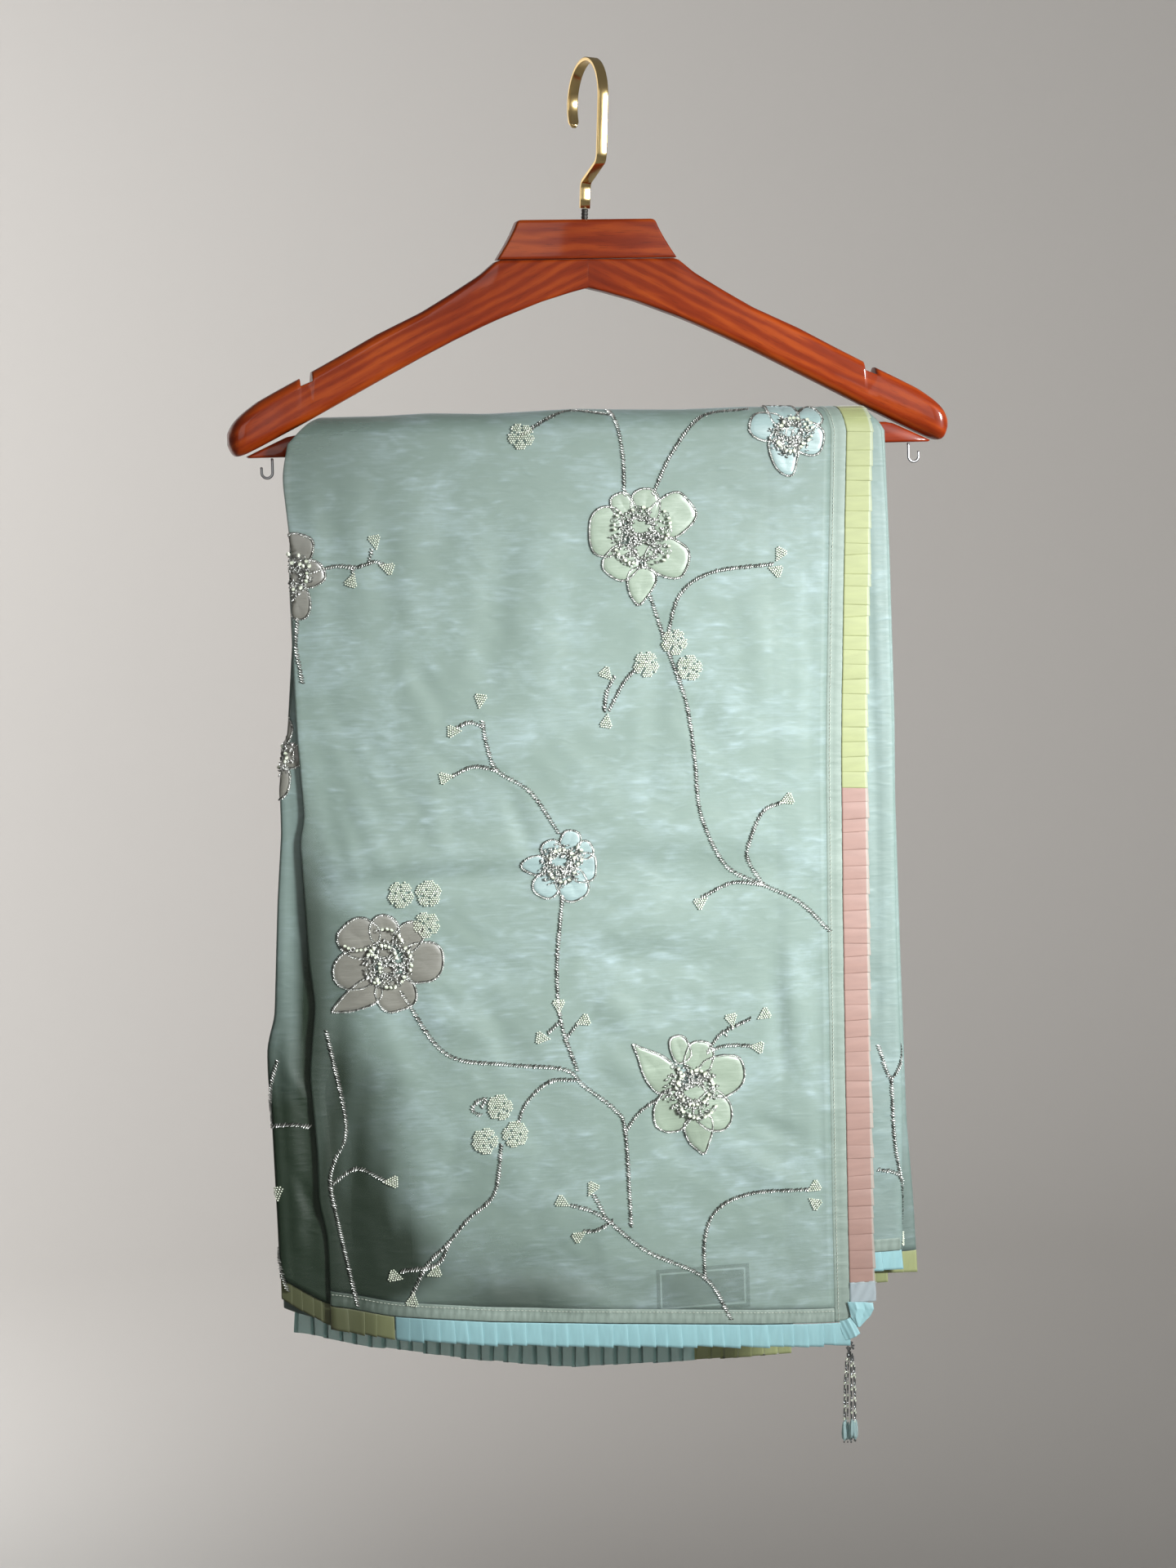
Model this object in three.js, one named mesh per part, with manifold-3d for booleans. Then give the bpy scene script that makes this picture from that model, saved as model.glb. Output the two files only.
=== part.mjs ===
// A folded organza saree hung over the trouser bar of a wooden suit hanger.
// Millimetres, +Z up, the front toward -Y. The origin is the inner top of the hook, where the rail bears.
import * as THREE from 'three';
import { mergeVertices } from 'three/addons/utils/BufferGeometryUtils.js';
import Module from 'manifold-3d';

// ---- Driving dimensions ----
const SEAM_GAP = 0.3;

const HANGER_X = -4.9; // the hanger's middle, carried to the left by the lean of the hook
const HEAD = { top: -96.1, bottom: -120, topHalf: 43.3, bottomHalf: 56.5, depth: 13, edge: 1.8 };
const ARM_SWEEP = 12; // how far the arm tips come forward
const TIP_X = 225.5;
const BAR = { y: -11.5, depth: 10, top: -224, bottom: -237, topHalf: 188, bottomHalf: 216.5, edge: 1.5 };
const HOOK = { radius: 23.75, width: 6.5, depth: 2.5, swivel: 10, lean: 3 };
const STEM = { radius: 2.2, top: -89.6, bottom: -108, clearance: 0.4 };
const SCREW = { wire: 0.75, top: -237.4, turnZ: -246, turnRadius: 2.85, freeEnd: -242.6, y: -12 };

const WALL = 1;
const WRAP = { y: BAR.y, z: -229.5, barRadius: 7.6, hemRadius: 9 }; // the innermost surface of the stack
const TURN = 0.05; // the share of each fall's parameter that goes round the bar
const FRONT_FALL = 545;
const BACK_FALL = 579;
const BAND = { side: 10, hem: 9, proud: 0.3, depth: 1.8, clear: 0.7 };
const RIBBON = { width: 16.5, clear: 0.5, pleat: 10, drop: 14.5, low: 0.3, high: 1.4, yellowTo: -450 };
const HEM_PLEAT = 9.4;

// The arms, out from the hanger's middle: upper edge, lower edge, thickness and edge rounding
const ARM_ROWS = [
  { x: 0.15, upper: -120.3, lower: -137.8, depth: 13, edge: 1.2 },
  { x: 10, upper: -120.3, lower: -140.2, depth: 13, edge: 1.6 },
  { x: 30, upper: -120.3, lower: -146.1, depth: 13, edge: 2 },
  { x: 56.5, upper: -120.3, lower: -156.1, depth: 13.1, edge: 2.5 },
  { x: 67, upper: -129, lower: -160.6, depth: 13.2, edge: 3.2 },
  { x: 85, upper: -140, lower: -168.8, depth: 13.4, edge: 4.2 },
  { x: 104, upper: -151, lower: -178.1, depth: 13.7, edge: 5 },
  { x: 133, upper: -164.5, lower: -193, depth: 14.4, edge: 5.6 },
  { x: 155, upper: -176.4, lower: -204.5, depth: 15, edge: 6 },
  { x: 172.4, upper: -186, lower: -213.5, depth: 15.8, edge: 6 },
  { x: 173, upper: -191.6, lower: -213.9, depth: 15.8, edge: 5.6 },
  { x: 179.4, upper: -194.8, lower: -217.2, depth: 16.2, edge: 5.6 },
  { x: 181.5, upper: -190.3, lower: -218.3, depth: 16.4, edge: 6 },
  { x: 194, upper: -196.6, lower: -224.5, depth: 18.5, edge: 6.6 },
  { x: 207, upper: -203.5, lower: -230.9, depth: 21.5, edge: 7.4 },
  { x: 216, upper: -210, lower: -235, depth: 23.5, edge: 8 },
  { x: 221, upper: -214.6, lower: -236.4, depth: 22.5, edge: 7.6 },
  { x: 224.3, upper: -218.8, lower: -233.6, depth: 18, edge: 5.6 },
  { x: TIP_X, upper: -222, lower: -229.6, depth: 11, edge: 3 },
];
const HEAD_ROWS = [
  { share: 0, inset: 1.6 }, { share: 0.05, inset: 0 }, { share: 0.45, inset: 0 }, { share: 0.8, inset: 0 },
  { share: 0.96, inset: 0 }, { share: 1, inset: 0.8 },
];

// Depths in the stack, out from its innermost surface, round the bar and at the hems:
// the face of each stretch, then the face of its turned-in return
const PALLU = { bar: 9.8, hem: 28, backBar: 8.5, backHem: 22, turnIn: 34 };
const LEFT = { bar: 7.2, hem: 20.5, backBar: 5.9, backHem: 14, turnIn: 30 };
const NEAR = { bar: 7.2, hem: 20.5, backBar: 5.9, backHem: 15.5, turnIn: 30 };
const FAR = { bar: 4.6, hem: 13.5, backBar: 3.3, backHem: 9, turnIn: 30 };
const PLAIN_ENDS = { left: -138, right: 104 }; // where the edge stretches run out under the outer one

// Edges of the stretches round the bar, by the angle from its top, forward positive
const PALLU_LEFT_TURN = [
  { angle: -90, x: -190 }, { angle: -60, x: -184 }, { angle: -45, x: -177 }, { angle: 0, x: -175 },
  { angle: 15, x: -177 }, { angle: 45, x: -185 }, { angle: 90, x: -196.5 },
];
const LEFT_TURN = [
  { angle: -90, x: -188 }, { angle: -60, x: -182 }, { angle: -45, x: -177 }, { angle: 0, x: -175 },
  { angle: 30, x: -177 }, { angle: 90, x: -191 },
];
const PALLU_END_TURN = [{ angle: -90, x: 141.5 }, { angle: 0, x: 138.2 }, { angle: 90, x: 141.5 }];
const NEAR_TURN = [{ angle: -90, x: 173 }, { angle: 0, x: 166 }, { angle: 90, x: 175 }];
const FAR_TURN = [{ angle: -90, x: 176 }, { angle: 0, x: 168 }, { angle: 90, x: 177.5 }];

// The same edges down the falls, by the distance below the turn
const PALLU_LEFT_FRONT = [
  { down: 0, x: -196.5 }, { down: 20, x: -200.5 }, { down: 70, x: -196.5 }, { down: 140, x: -198 },
  { down: 180, x: -197.5 }, { down: 237, x: -194.5 }, { down: 249, x: -198 }, { down: 330, x: -195.3 },
  { down: 352, x: -192.3 }, { down: 400, x: -197.4 }, { down: 450, x: -194.4 }, { down: 480, x: -195 },
  { down: 500, x: -190.5 }, { down: 545, x: -189.7 },
];
const PALLU_LEFT_BACK = [
  { down: 0, x: -190 }, { down: 90, x: -194 }, { down: 190, x: -192.5 }, { down: 300, x: -197 },
  { down: 420, x: -199 }, { down: 500, x: -203 }, { down: 579, x: -203.5 },
];
const LEFT_FRONT = [
  { down: 0, x: -191 }, { down: 70, x: -192 }, { down: 142, x: -196 }, { down: 193, x: -203.9 },
  { down: 217, x: -208.2 }, { down: 249, x: -208.4 }, { down: 294, x: -212.1 }, { down: 371, x: -216.5 },
  { down: 392, x: -221.7 }, { down: 410, x: -221.9 }, { down: 438, x: -220.5 }, { down: 505, x: -219.4 },
];
const LEFT_BACK = [
  { down: 0, x: -188 }, { down: 120, x: -193 }, { down: 260, x: -204 }, { down: 400, x: -211 },
  { down: 470, x: -214 }, { down: 579, x: -212 },
];
const PALLU_END_FRONT = [
  { down: 0, x: 141.5 }, { down: 87, x: 136.9 }, { down: 188, x: 132.2 }, { down: 290, x: 130.1 },
  { down: 392, x: 128.6 }, { down: 485, x: 127.4 }, { down: 556, x: 127.1 },
];
const PALLU_END_BACK = [
  { down: 0, x: 141.5 }, { down: 150, x: 130 }, { down: 330, x: 114 }, { down: 579, x: 92.5 },
];
const NEAR_FRONT = [
  { down: 0, x: 175 }, { down: 56, x: 176.8 }, { down: 190, x: 177.4 }, { down: 330, x: 176.4 },
  { down: 440, x: 177.4 }, { down: 514, x: 175.4 },
];
const NEAR_BACK = [{ down: 0, x: 173 }, { down: 200, x: 170 }, { down: 400, x: 166 }, { down: 545, x: 162 }];
const FAR_FRONT = [
  { down: 0, x: 177.5 }, { down: 82, x: 179 }, { down: 190, x: 179.8 }, { down: 240, x: 179 },
  { down: 343, x: 180 }, { down: 458, x: 181.6 }, { down: 496, x: 184 }, { down: 517, x: 185.1 },
];
const FAR_BACK = [{ down: 0, x: 176 }, { down: 180, x: 179 }, { down: 380, x: 177 }, { down: 540, x: 180 }];

// Lower edges, where the pleated ribbon starts
const FRONT_HEM = [
  { x: -219, z: -734.5 }, { x: -192, z: -751.2 }, { x: -152, z: -760.4 }, { x: -92, z: -768 },
  { x: -16, z: -775 }, { x: 78, z: -782.8 }, { x: 114, z: -785 }, { x: 137, z: -785.6 },
];
const BACK_HEM = [
  { x: -215, z: -763 }, { x: -201, z: -769 }, { x: -162, z: -781.5 }, { x: -91, z: -796 },
  { x: -26, z: -806.5 }, { x: 53, z: -808 }, { x: 119, z: -809 },
];
const SIDE_HEM = { near: { front: -744.5, back: -781 }, far: { front: -747, back: -778 } };

// The height of the folded edge along the bar, against the plain turn
const CREST = [
  { x: -175, z: -1.4 }, { x: -137, z: -1.4 }, { x: -108, z: -0.2 }, { x: -72, z: -1.5 },
  { x: -16, z: 0.5 }, { x: 7, z: -0.4 }, { x: 47, z: -1.4 }, { x: 93, z: -0.6 }, { x: 130, z: -1.6 },
];

// The largest soft folds of the outer stretch: the front fall runs from 0 at the bar to 1 at its hem, the back to -1
const SOFT_FOLDS = [
  { x: -176, width: 16, depth: 2.4, from: 0.02, to: 0.5 },
  { x: -152, width: 15, depth: -1.8, from: 0.04, to: 0.56 },
  { x: -124, width: 20, depth: 1.6, from: 0.05, to: 0.6 },
  { x: -60, width: 40, depth: -1.5, from: 0.2, to: 0.95 },
  { x: 10, width: 46, depth: 1.8, from: 0.25, to: 1.05 },
  { x: 76, width: 32, depth: -1.4, from: 0.1, to: 0.8 },
  { x: -130, width: 34, depth: 1.7, from: 0.55, to: 1.1 },
  { x: -120, width: 30, depth: 2, from: -0.9, to: -0.05 },
  { x: -40, width: 44, depth: -1.8, from: -1.05, to: -0.15 },
  { x: 40, width: 34, depth: 1.8, from: -1.1, to: -0.2 },
];

// The hidden layers' section: the shares of the stack's height at the edges, and the steps across
const EDGE_LAYERS = [
  { out: 0, height: 0.1 }, { out: 3, height: 0.24 }, { out: -1, height: 0.38 }, { out: 4, height: 0.54 },
  { out: 0, height: 0.7 }, { out: 3, height: 0.88 }, { out: -2, height: 1 },
];
const INNER_LEFT = { bar: 4.4, hem: 12.5, inset: 10 };
const INNER_MIDDLE = { bar: 8.4, hem: 21.5, from: -130, to: 96 };
const INNER_RIGHT = { bar: 2, hem: 7.5, inset: 14, from: 102 };
const INNER_HEM = { above: 3, lowestBack: -806, lowestRight: -748 };

const LABEL = { left: 12.9, right: 72.4, top: -743.5, bottom: -771.8, lift: -1.9, depth: 1 };
const TASSEL = { x: 136.9, y: -46.5, top: -800.4, length: 63.5, tilt: 3.1 };
const TASSEL_PROFILE = [
  { radius: 0, down: 0 }, { radius: 2.4, down: 0.8 }, { radius: 3.4, down: 4 }, { radius: 2.2, down: 8 },
  { radius: 3.6, down: 22 }, { radius: 5.2, down: 46 }, { radius: 6.6, down: 56 }, { radius: 6, down: 62 },
  { radius: 0, down: 63.5 },
];
const RIBBON_END = { top: -760.9, bottom: -773.5, back: -808 };
const YELLOW = { frontTo: -152, backFrom: 53, backTo: 119, blueTo: 137 }; // where the hem ribbon changes colour
const CORNER = [
  { left: 137.5, right: 154.2, z: -773.8 }, { left: 137.6, right: 152.6, z: -778.6 },
  { left: 139.2, right: 148.4, z: -785.6 }, { left: 142.2, right: 143.6, z: -793 },
];

const FINISHES = {
  wood: { color: 0x9a3f22, roughness: 0.32, metalness: 0 },
  gold: { color: 0xc9a24c, roughness: 0.2, metalness: 1 },
  steel: { color: 0x8d8f92, roughness: 0.3, metalness: 1 },
  organza: { color: 0xb4cdc2, roughness: 0.55, metalness: 0 },
  organzaDeep: { color: 0x93ac9c, roughness: 0.6, metalness: 0 },
  yellow: { color: 0xd5db92, roughness: 0.65, metalness: 0 },
  pink: { color: 0xdeb2a8, roughness: 0.65, metalness: 0 },
  blue: { color: 0x98cbd0, roughness: 0.65, metalness: 0 },
  blueGrey: { color: 0xaebdc6, roughness: 0.65, metalness: 0 },
  grey: { color: 0x8f999b, roughness: 0.6, metalness: 0 },
  beads: { color: 0xa9bdb8, roughness: 0.25, metalness: 0.4 },
};

// ---- Small tools ----
const mix = (a, b, share) => a + (b - a) * share;
const radians = THREE.MathUtils.degToRad;

function lookUp(rows, key, column, at) {
  const rising = rows[0][key] < rows[rows.length - 1][key];
  const past = rows.findIndex((row) => (rising ? row[key] > at : row[key] < at));
  if (past === 0) return rows[0][column];
  if (past < 0) return rows[rows.length - 1][column];
  const [low, high] = [rows[past - 1], rows[past]];
  return mix(low[column], high[column], (at - low[key]) / (high[key] - low[key]));
}

function spread(from, to, steps) {
  return Array.from({ length: steps + 1 }, (_, i) => mix(from, to, i / steps));
}

function closedGeometry(points, triangles) {
  const volume = triangles.reduce((sum, [a, b, c]) => {
    return sum + points[a].dot(new THREE.Vector3().crossVectors(points[b], points[c]));
  }, 0);
  const outward = volume > 0 ? triangles : triangles.map(([a, b, c]) => [a, c, b]);
  const geometry = new THREE.BufferGeometry();
  const numbers = points.flatMap((point) => point.toArray());
  geometry.setAttribute('position', new THREE.Float32BufferAttribute(numbers, 3));
  geometry.setIndex(outward.flat());
  geometry.computeVertexNormals();
  return geometry;
}

// A solid through closed rings of equal count, its two ends closed by fans
function loft(rings) {
  const count = rings[0].length;
  const points = rings.flat();
  const triangles = [];
  for (let i = 0; i + 1 < rings.length; i += 1) {
    for (let j = 0; j < count; j += 1) {
      const [a, b] = [i * count + j, i * count + ((j + 1) % count)];
      triangles.push([a, b, b + count], [a, b + count, a + count]);
    }
  }
  for (const [ring, start] of [[rings[0], 0], [rings[rings.length - 1], (rings.length - 1) * count]]) {
    const middle = new THREE.Vector3();
    ring.forEach((point) => middle.addScaledVector(point, 1 / count));
    points.push(middle);
    for (let j = 0; j < count; j += 1) {
      const [a, b] = [start + j, start + ((j + 1) % count)];
      triangles.push(start === 0 ? [b, a, points.length - 1] : [a, b, points.length - 1]);
    }
  }
  return closedGeometry(points, triangles);
}

// A wall between two grids of points with the same rows and columns
function wallBetween(face, back) {
  const [rows, columns] = [face.length, face[0].length];
  const points = [...face.flat(), ...back.flat()];
  const offset = rows * columns;
  const at = (i, j) => i * columns + j;
  const triangles = [];
  const quad = (a, b, c, d) => triangles.push([a, b, c], [a, c, d]);
  for (let i = 0; i + 1 < rows; i += 1) {
    for (let j = 0; j + 1 < columns; j += 1) {
      quad(at(i, j), at(i, j + 1), at(i + 1, j + 1), at(i + 1, j));
      quad(offset + at(i, j), offset + at(i + 1, j), offset + at(i + 1, j + 1), offset + at(i, j + 1));
    }
    for (const [a, b] of [[at(i + 1, 0), at(i, 0)], [at(i, columns - 1), at(i + 1, columns - 1)]]) {
      quad(b, a, a + offset, b + offset);
    }
  }
  for (let j = 0; j + 1 < columns; j += 1) {
    for (const [a, b] of [[at(0, j), at(0, j + 1)], [at(rows - 1, j + 1), at(rows - 1, j)]]) {
      quad(b, a, a + offset, b + offset);
    }
  }
  return closedGeometry(points, triangles);
}

// The corners of a rectangle, each rounded by three points, counter-clockwise
function roundedSection(halfWidth, halfHeight, radius) {
  const corners = [[1, 1, 0], [-1, 1, 90], [-1, -1, 180], [1, -1, 270]];
  return corners.flatMap(([sx, sy, start]) => [0, 45, 90].map((turn) => {
    const angle = radians(start + turn);
    return {
      across: sx * (halfWidth - radius) + radius * Math.cos(angle),
      up: sy * (halfHeight - radius) + radius * Math.sin(angle),
    };
  }));
}

const saree = new THREE.Group();
const hanger = new THREE.Group();
const model = new THREE.Group();
model.add(hanger, saree);

function addPiece(group, name, finish, geometry) {
  const material = new THREE.MeshStandardMaterial({ ...FINISHES[finish], flatShading: true });
  const mesh = new THREE.Mesh(geometry, material);
  mesh.name = name;
  group.add(mesh);
  return mesh;
}

// ---- Hanger ----
const wasm = await Module();
wasm.setup();

function toSolid(geometry) {
  const plain = new THREE.BufferGeometry();
  plain.setAttribute('position', geometry.getAttribute('position').clone());
  plain.setIndex(geometry.index.clone());
  const merged = mergeVertices(plain, 1e-4);
  return new wasm.Manifold(new wasm.Mesh({
    numProp: 3,
    vertProperties: new Float32Array(merged.attributes.position.array),
    triVerts: new Uint32Array(merged.index.array),
  }));
}

function fromSolid(solid) {
  const mesh = solid.getMesh();
  const geometry = new THREE.BufferGeometry();
  geometry.setAttribute('position', new THREE.BufferAttribute(new Float32Array(mesh.vertProperties), 3));
  geometry.setIndex(new THREE.BufferAttribute(new Uint32Array(mesh.triVerts), 1));
  geometry.computeVertexNormals();
  return geometry;
}

function headBlock() {
  const rings = HEAD_ROWS.map(({ share, inset }) => {
    const z = mix(HEAD.top, HEAD.bottom, share);
    const half = mix(HEAD.topHalf, HEAD.bottomHalf, share ** 1.25) - inset;
    return roundedSection(half, HEAD.depth / 2 - inset * 0.7, HEAD.edge)
      .map(({ across, up }) => new THREE.Vector3(HANGER_X + across, up, z));
  });
  const bore = new THREE.CylinderGeometry(STEM.radius + STEM.clearance, STEM.radius + STEM.clearance, 40, 16);
  bore.rotateX(Math.PI / 2).rotateY(radians(HOOK.lean));
  bore.translate(HANGER_X, 0, STEM.bottom + 20 - STEM.clearance);
  return fromSolid(toSolid(loft(rings)).subtract(toSolid(bore)));
}

function arm(side) {
  const rings = ARM_ROWS.map(({ x, upper, lower, depth, edge }) => {
    const middleY = -ARM_SWEEP * (x / TIP_X) ** 2;
    return roundedSection(depth / 2, (upper - lower) / 2, edge).map(({ across, up }) => (
      new THREE.Vector3(HANGER_X + side * x, middleY + across, (upper + lower) / 2 + up)));
  });
  return loft(rings);
}

function trouserBar() {
  const rings = [-1, 1].map((side) => roundedSection(BAR.depth / 2, (BAR.top - BAR.bottom) / 2, BAR.edge)
    .map(({ across, up }) => {
      const z = (BAR.top + BAR.bottom) / 2 + up;
      const half = mix(BAR.bottomHalf, BAR.topHalf, (z - BAR.bottom) / (BAR.top - BAR.bottom));
      return new THREE.Vector3(HANGER_X + side * half, BAR.y + across, z);
    }));
  return loft(rings);
}

// The hook's centre line, seen from its side
function hookPath() {
  const middle = HOOK.radius + HOOK.depth / 2;
  const crook = spread(214, 0, 16).map((degrees) => (
    { y: -middle * Math.cos(radians(degrees)), z: -HOOK.radius + middle * Math.sin(radians(degrees)) }));
  const jog = [
    { y: -25, z: -57.5 }, { y: -24.5, z: -60.6 }, { y: -22.4, z: -63 }, { y: -2.6, z: -72.2 },
    { y: -0.5, z: -74.4 }, { y: 0, z: -77.4 }, { y: 0, z: -89.2 },
  ];
  return [...crook, ...jog];
}

function hook() {
  const path = hookPath();
  const rings = path.map((point, i) => {
    const before = path[Math.max(i - 1, 0)];
    const after = path[Math.min(i + 1, path.length - 1)];
    const along = new THREE.Vector3(0, after.y - before.y, after.z - before.z).normalize();
    const out = new THREE.Vector3(0, -along.z, along.y);
    const width = i === 0 ? HOOK.width - 2.6 : HOOK.width;
    return roundedSection(width / 2, HOOK.depth / 2, 0.45).map(({ across, up }) => (
      new THREE.Vector3(across, point.y, point.z).addScaledVector(out, up)));
  });
  return loft(rings);
}

function hookStem() {
  const length = STEM.top - STEM.bottom;
  const profile = [[0, 0], [STEM.radius, 0], [STEM.radius, length], [0, length]];
  const geometry = new THREE.LatheGeometry(profile.map(([r, h]) => new THREE.Vector2(r, h)), 14);
  return geometry.rotateX(Math.PI / 2).translate(0, 0, STEM.bottom);
}

function screwHook(attachX, side) {
  const centreX = attachX + side * SCREW.turnRadius;
  const round = spread(180, 360, 6).map((degrees) => new THREE.Vector3(
    centreX + side * SCREW.turnRadius * Math.cos(radians(degrees)), SCREW.y,
    SCREW.turnZ + SCREW.turnRadius * Math.sin(radians(degrees))));
  const line = [
    new THREE.Vector3(attachX, SCREW.y, SCREW.top), ...round,
    new THREE.Vector3(centreX + side * SCREW.turnRadius, SCREW.y, SCREW.freeEnd),
  ];
  const section = new THREE.Shape(spread(0, 300, 5).map((degrees) => new THREE.Vector2(
    SCREW.wire * Math.cos(radians(degrees)), SCREW.wire * Math.sin(radians(degrees)))));
  const wire = new THREE.CatmullRomCurve3(line, false, 'centripetal');
  return new THREE.ExtrudeGeometry(section, { steps: 16, extrudePath: wire });
}

addPiece(hanger, 'head_block', 'wood', headBlock());
addPiece(hanger, 'left_arm', 'wood', arm(-1));
addPiece(hanger, 'right_arm', 'wood', arm(1));
addPiece(hanger, 'trouser_bar', 'wood', trouserBar());
addPiece(hanger, 'screw_hook_left', 'steel', screwHook(-204.1, -1));
addPiece(hanger, 'screw_hook_right', 'steel', screwHook(196.2, 1));
const leaning = new THREE.Group();
leaning.rotation.set(0, radians(HOOK.lean), radians(HOOK.swivel));
hanger.add(leaning);
addPiece(leaning, 'hook', 'gold', hook());
addPiece(leaning, 'hook_stem', 'steel', hookStem());

// ---- Saree ----
// The fall's parameter runs from -1 at the back hem, over the bar at 0, to 1 at the front hem.
const fallShare = (v) => Math.max(0, (Math.abs(v) - TURN) / (1 - TURN));
const turnAngle = (v) => Math.min(Math.abs(v) / TURN, 1) * 90;
const hemAt = (x, v) => (v < 0 ? lookUp(BACK_HEM, 'x', 'z', x) : lookUp(FRONT_HEM, 'x', 'z', x));

function edgeAt(turn, front, back, v) {
  if (Math.abs(v) < TURN) return lookUp(turn, 'angle', 'x', Math.sign(v) * turnAngle(v));
  return v < 0 ? lookUp(back, 'down', 'x', fallShare(v) * BACK_FALL)
    : lookUp(front, 'down', 'x', fallShare(v) * FRONT_FALL);
}
const palluLeft = (v) => edgeAt(PALLU_LEFT_TURN, PALLU_LEFT_FRONT, PALLU_LEFT_BACK, v);
const palluEnd = (v) => edgeAt(PALLU_END_TURN, PALLU_END_FRONT, PALLU_END_BACK, v);
const deepLeft = (v) => edgeAt(LEFT_TURN, LEFT_FRONT, LEFT_BACK, v);
const nearRight = (v) => edgeAt(NEAR_TURN, NEAR_FRONT, NEAR_BACK, v);
const farRight = (v) => edgeAt(FAR_TURN, FAR_FRONT, FAR_BACK, v);

// A point of the stack: depth is counted out from the innermost surface
function hang(x, v, depth, hemZ) {
  const share = fallShare(v);
  const side = v < 0 ? 1 : -1;
  const radius = mix(WRAP.barRadius, WRAP.hemRadius, share) + depth;
  const angle = radians(turnAngle(v));
  const turned = WRAP.z + (radius + lookUp(CREST, 'x', 'z', x) * depth / PALLU.bar) * Math.cos(angle);
  const z = share > 0 ? mix(WRAP.z, hemZ, share) : turned;
  return new THREE.Vector3(x, WRAP.y + side * radius * Math.sin(angle), z);
}

const shareOf = (z, hemZ) => TURN + (1 - TURN) * (z - WRAP.z) / (hemZ - WRAP.z);

function softFolds(x, v) {
  const signed = Math.sign(v) * fallShare(v);
  const lift = SOFT_FOLDS.reduce((sum, { x: middle, width, depth, from, to }) => {
    const across = Math.abs(x - middle) / width;
    const along = (signed - from) / (to - from);
    if (across >= 1 || along <= 0 || along >= 1) return sum;
    return sum + depth * Math.cos(across * Math.PI / 2) ** 2 * Math.sin(along * Math.PI);
  }, 0);
  return Math.max(lift, -4 * fallShare(v));
}
const palluDepth = (x, v) => mix(PALLU.bar, PALLU.hem, fallShare(v)) + softFolds(x, v);

const ROWS_DOWN = [0.045, 0.1, 0.19, 0.28, 0.37, 0.46, 0.56, 0.66, 0.76, 0.86, 0.94, 1];
const DOWN = ROWS_DOWN.map((share) => mix(TURN, 1, share));
const FALL_ROWS = [...DOWN.map((v) => -v).reverse(), ...spread(-TURN, TURN, 8), ...DOWN];
const COARSE_ROWS = FALL_ROWS.filter((v, i) => Math.abs(v) < TURN || i % 2 === 0);

// A stretch that runs flat to a fold and turns back under itself
function foldedStretch({ layer, plainEnd, fold, hem, columns, rows, relief = false }) {
  const face = [];
  const back = [];
  for (const v of rows) {
    const share = fallShare(v);
    const [plain, edge] = [plainEnd(v), fold(v)];
    const inward = Math.sign(plain - edge);
    const outer = mix(layer.bar, layer.hem, share);
    const under = mix(layer.backBar, layer.backHem, share);
    const run = mix(3, 6.5, share);
    const hemOf = (x) => hem(x, v);
    const faceRow = [];
    const backRow = [];
    const add = (x1, d1, x2, d2) => {
      faceRow.push(hang(x1, v, d1, hemOf(x1)));
      backRow.push(hang(x2, v, d2, hemOf(x1)));
    };
    for (const at of columns) {
      const x = mix(plain, edge + inward * run, at);
      const lift = relief ? softFolds(x, v) * Math.min(1, Math.abs(x - edge) / 20) : 0;
      add(x, outer + lift, x, outer + lift - WALL);
    }
    const middle = (outer + under - WALL) / 2;
    for (const degrees of [45, 0, -45]) {
      const [c, s] = [Math.cos(radians(degrees)), Math.sin(radians(degrees))];
      add(edge + inward * run * (1 - c), middle + s * (outer - under + WALL) / 2,
        edge + inward * (run - (run - WALL) * c), middle + s * (outer - under - WALL) / 2);
    }
    for (const inFrom of [run, layer.turnIn]) {
      const x = edge + inward * inFrom;
      add(x, under - WALL, x, under);
    }
    face.push(faceRow);
    back.push(backRow);
  }
  return wallBetween(face, back);
}

const hemBandTop = (x, v) => hemAt(x, v) + BAND.hem + BAND.clear;
addPiece(saree, 'pallu_drape', 'organza', foldedStretch({
  layer: PALLU, plainEnd: (v) => palluEnd(v) - SEAM_GAP, fold: palluLeft, hem: hemBandTop,
  columns: [0, 0.12, 0.24, 0.37, 0.5, 0.63, 0.75, 0.85, 0.93, 1], rows: FALL_ROWS, relief: true,
}));
addPiece(saree, 'left_fold', 'organzaDeep', foldedStretch({
  layer: LEFT, plainEnd: () => PLAIN_ENDS.left, fold: deepLeft, hem: hemAt, columns: [0, 0.5, 1],
  rows: FALL_ROWS,
}));
const sideHem = (edge) => (x, v) => (v < 0 ? edge.back : edge.front);
addPiece(saree, 'right_fold_near', 'organzaDeep', foldedStretch({
  layer: NEAR, plainEnd: () => PLAIN_ENDS.right, fold: nearRight, hem: sideHem(SIDE_HEM.near),
  columns: [0, 0.5, 1], rows: COARSE_ROWS,
}));
addPiece(saree, 'right_fold_far', 'organzaDeep', foldedStretch({
  layer: FAR, plainEnd: () => PLAIN_ENDS.right, fold: farRight, hem: sideHem(SIDE_HEM.far),
  columns: [0, 0.5, 1], rows: COARSE_ROWS,
}));

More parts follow.
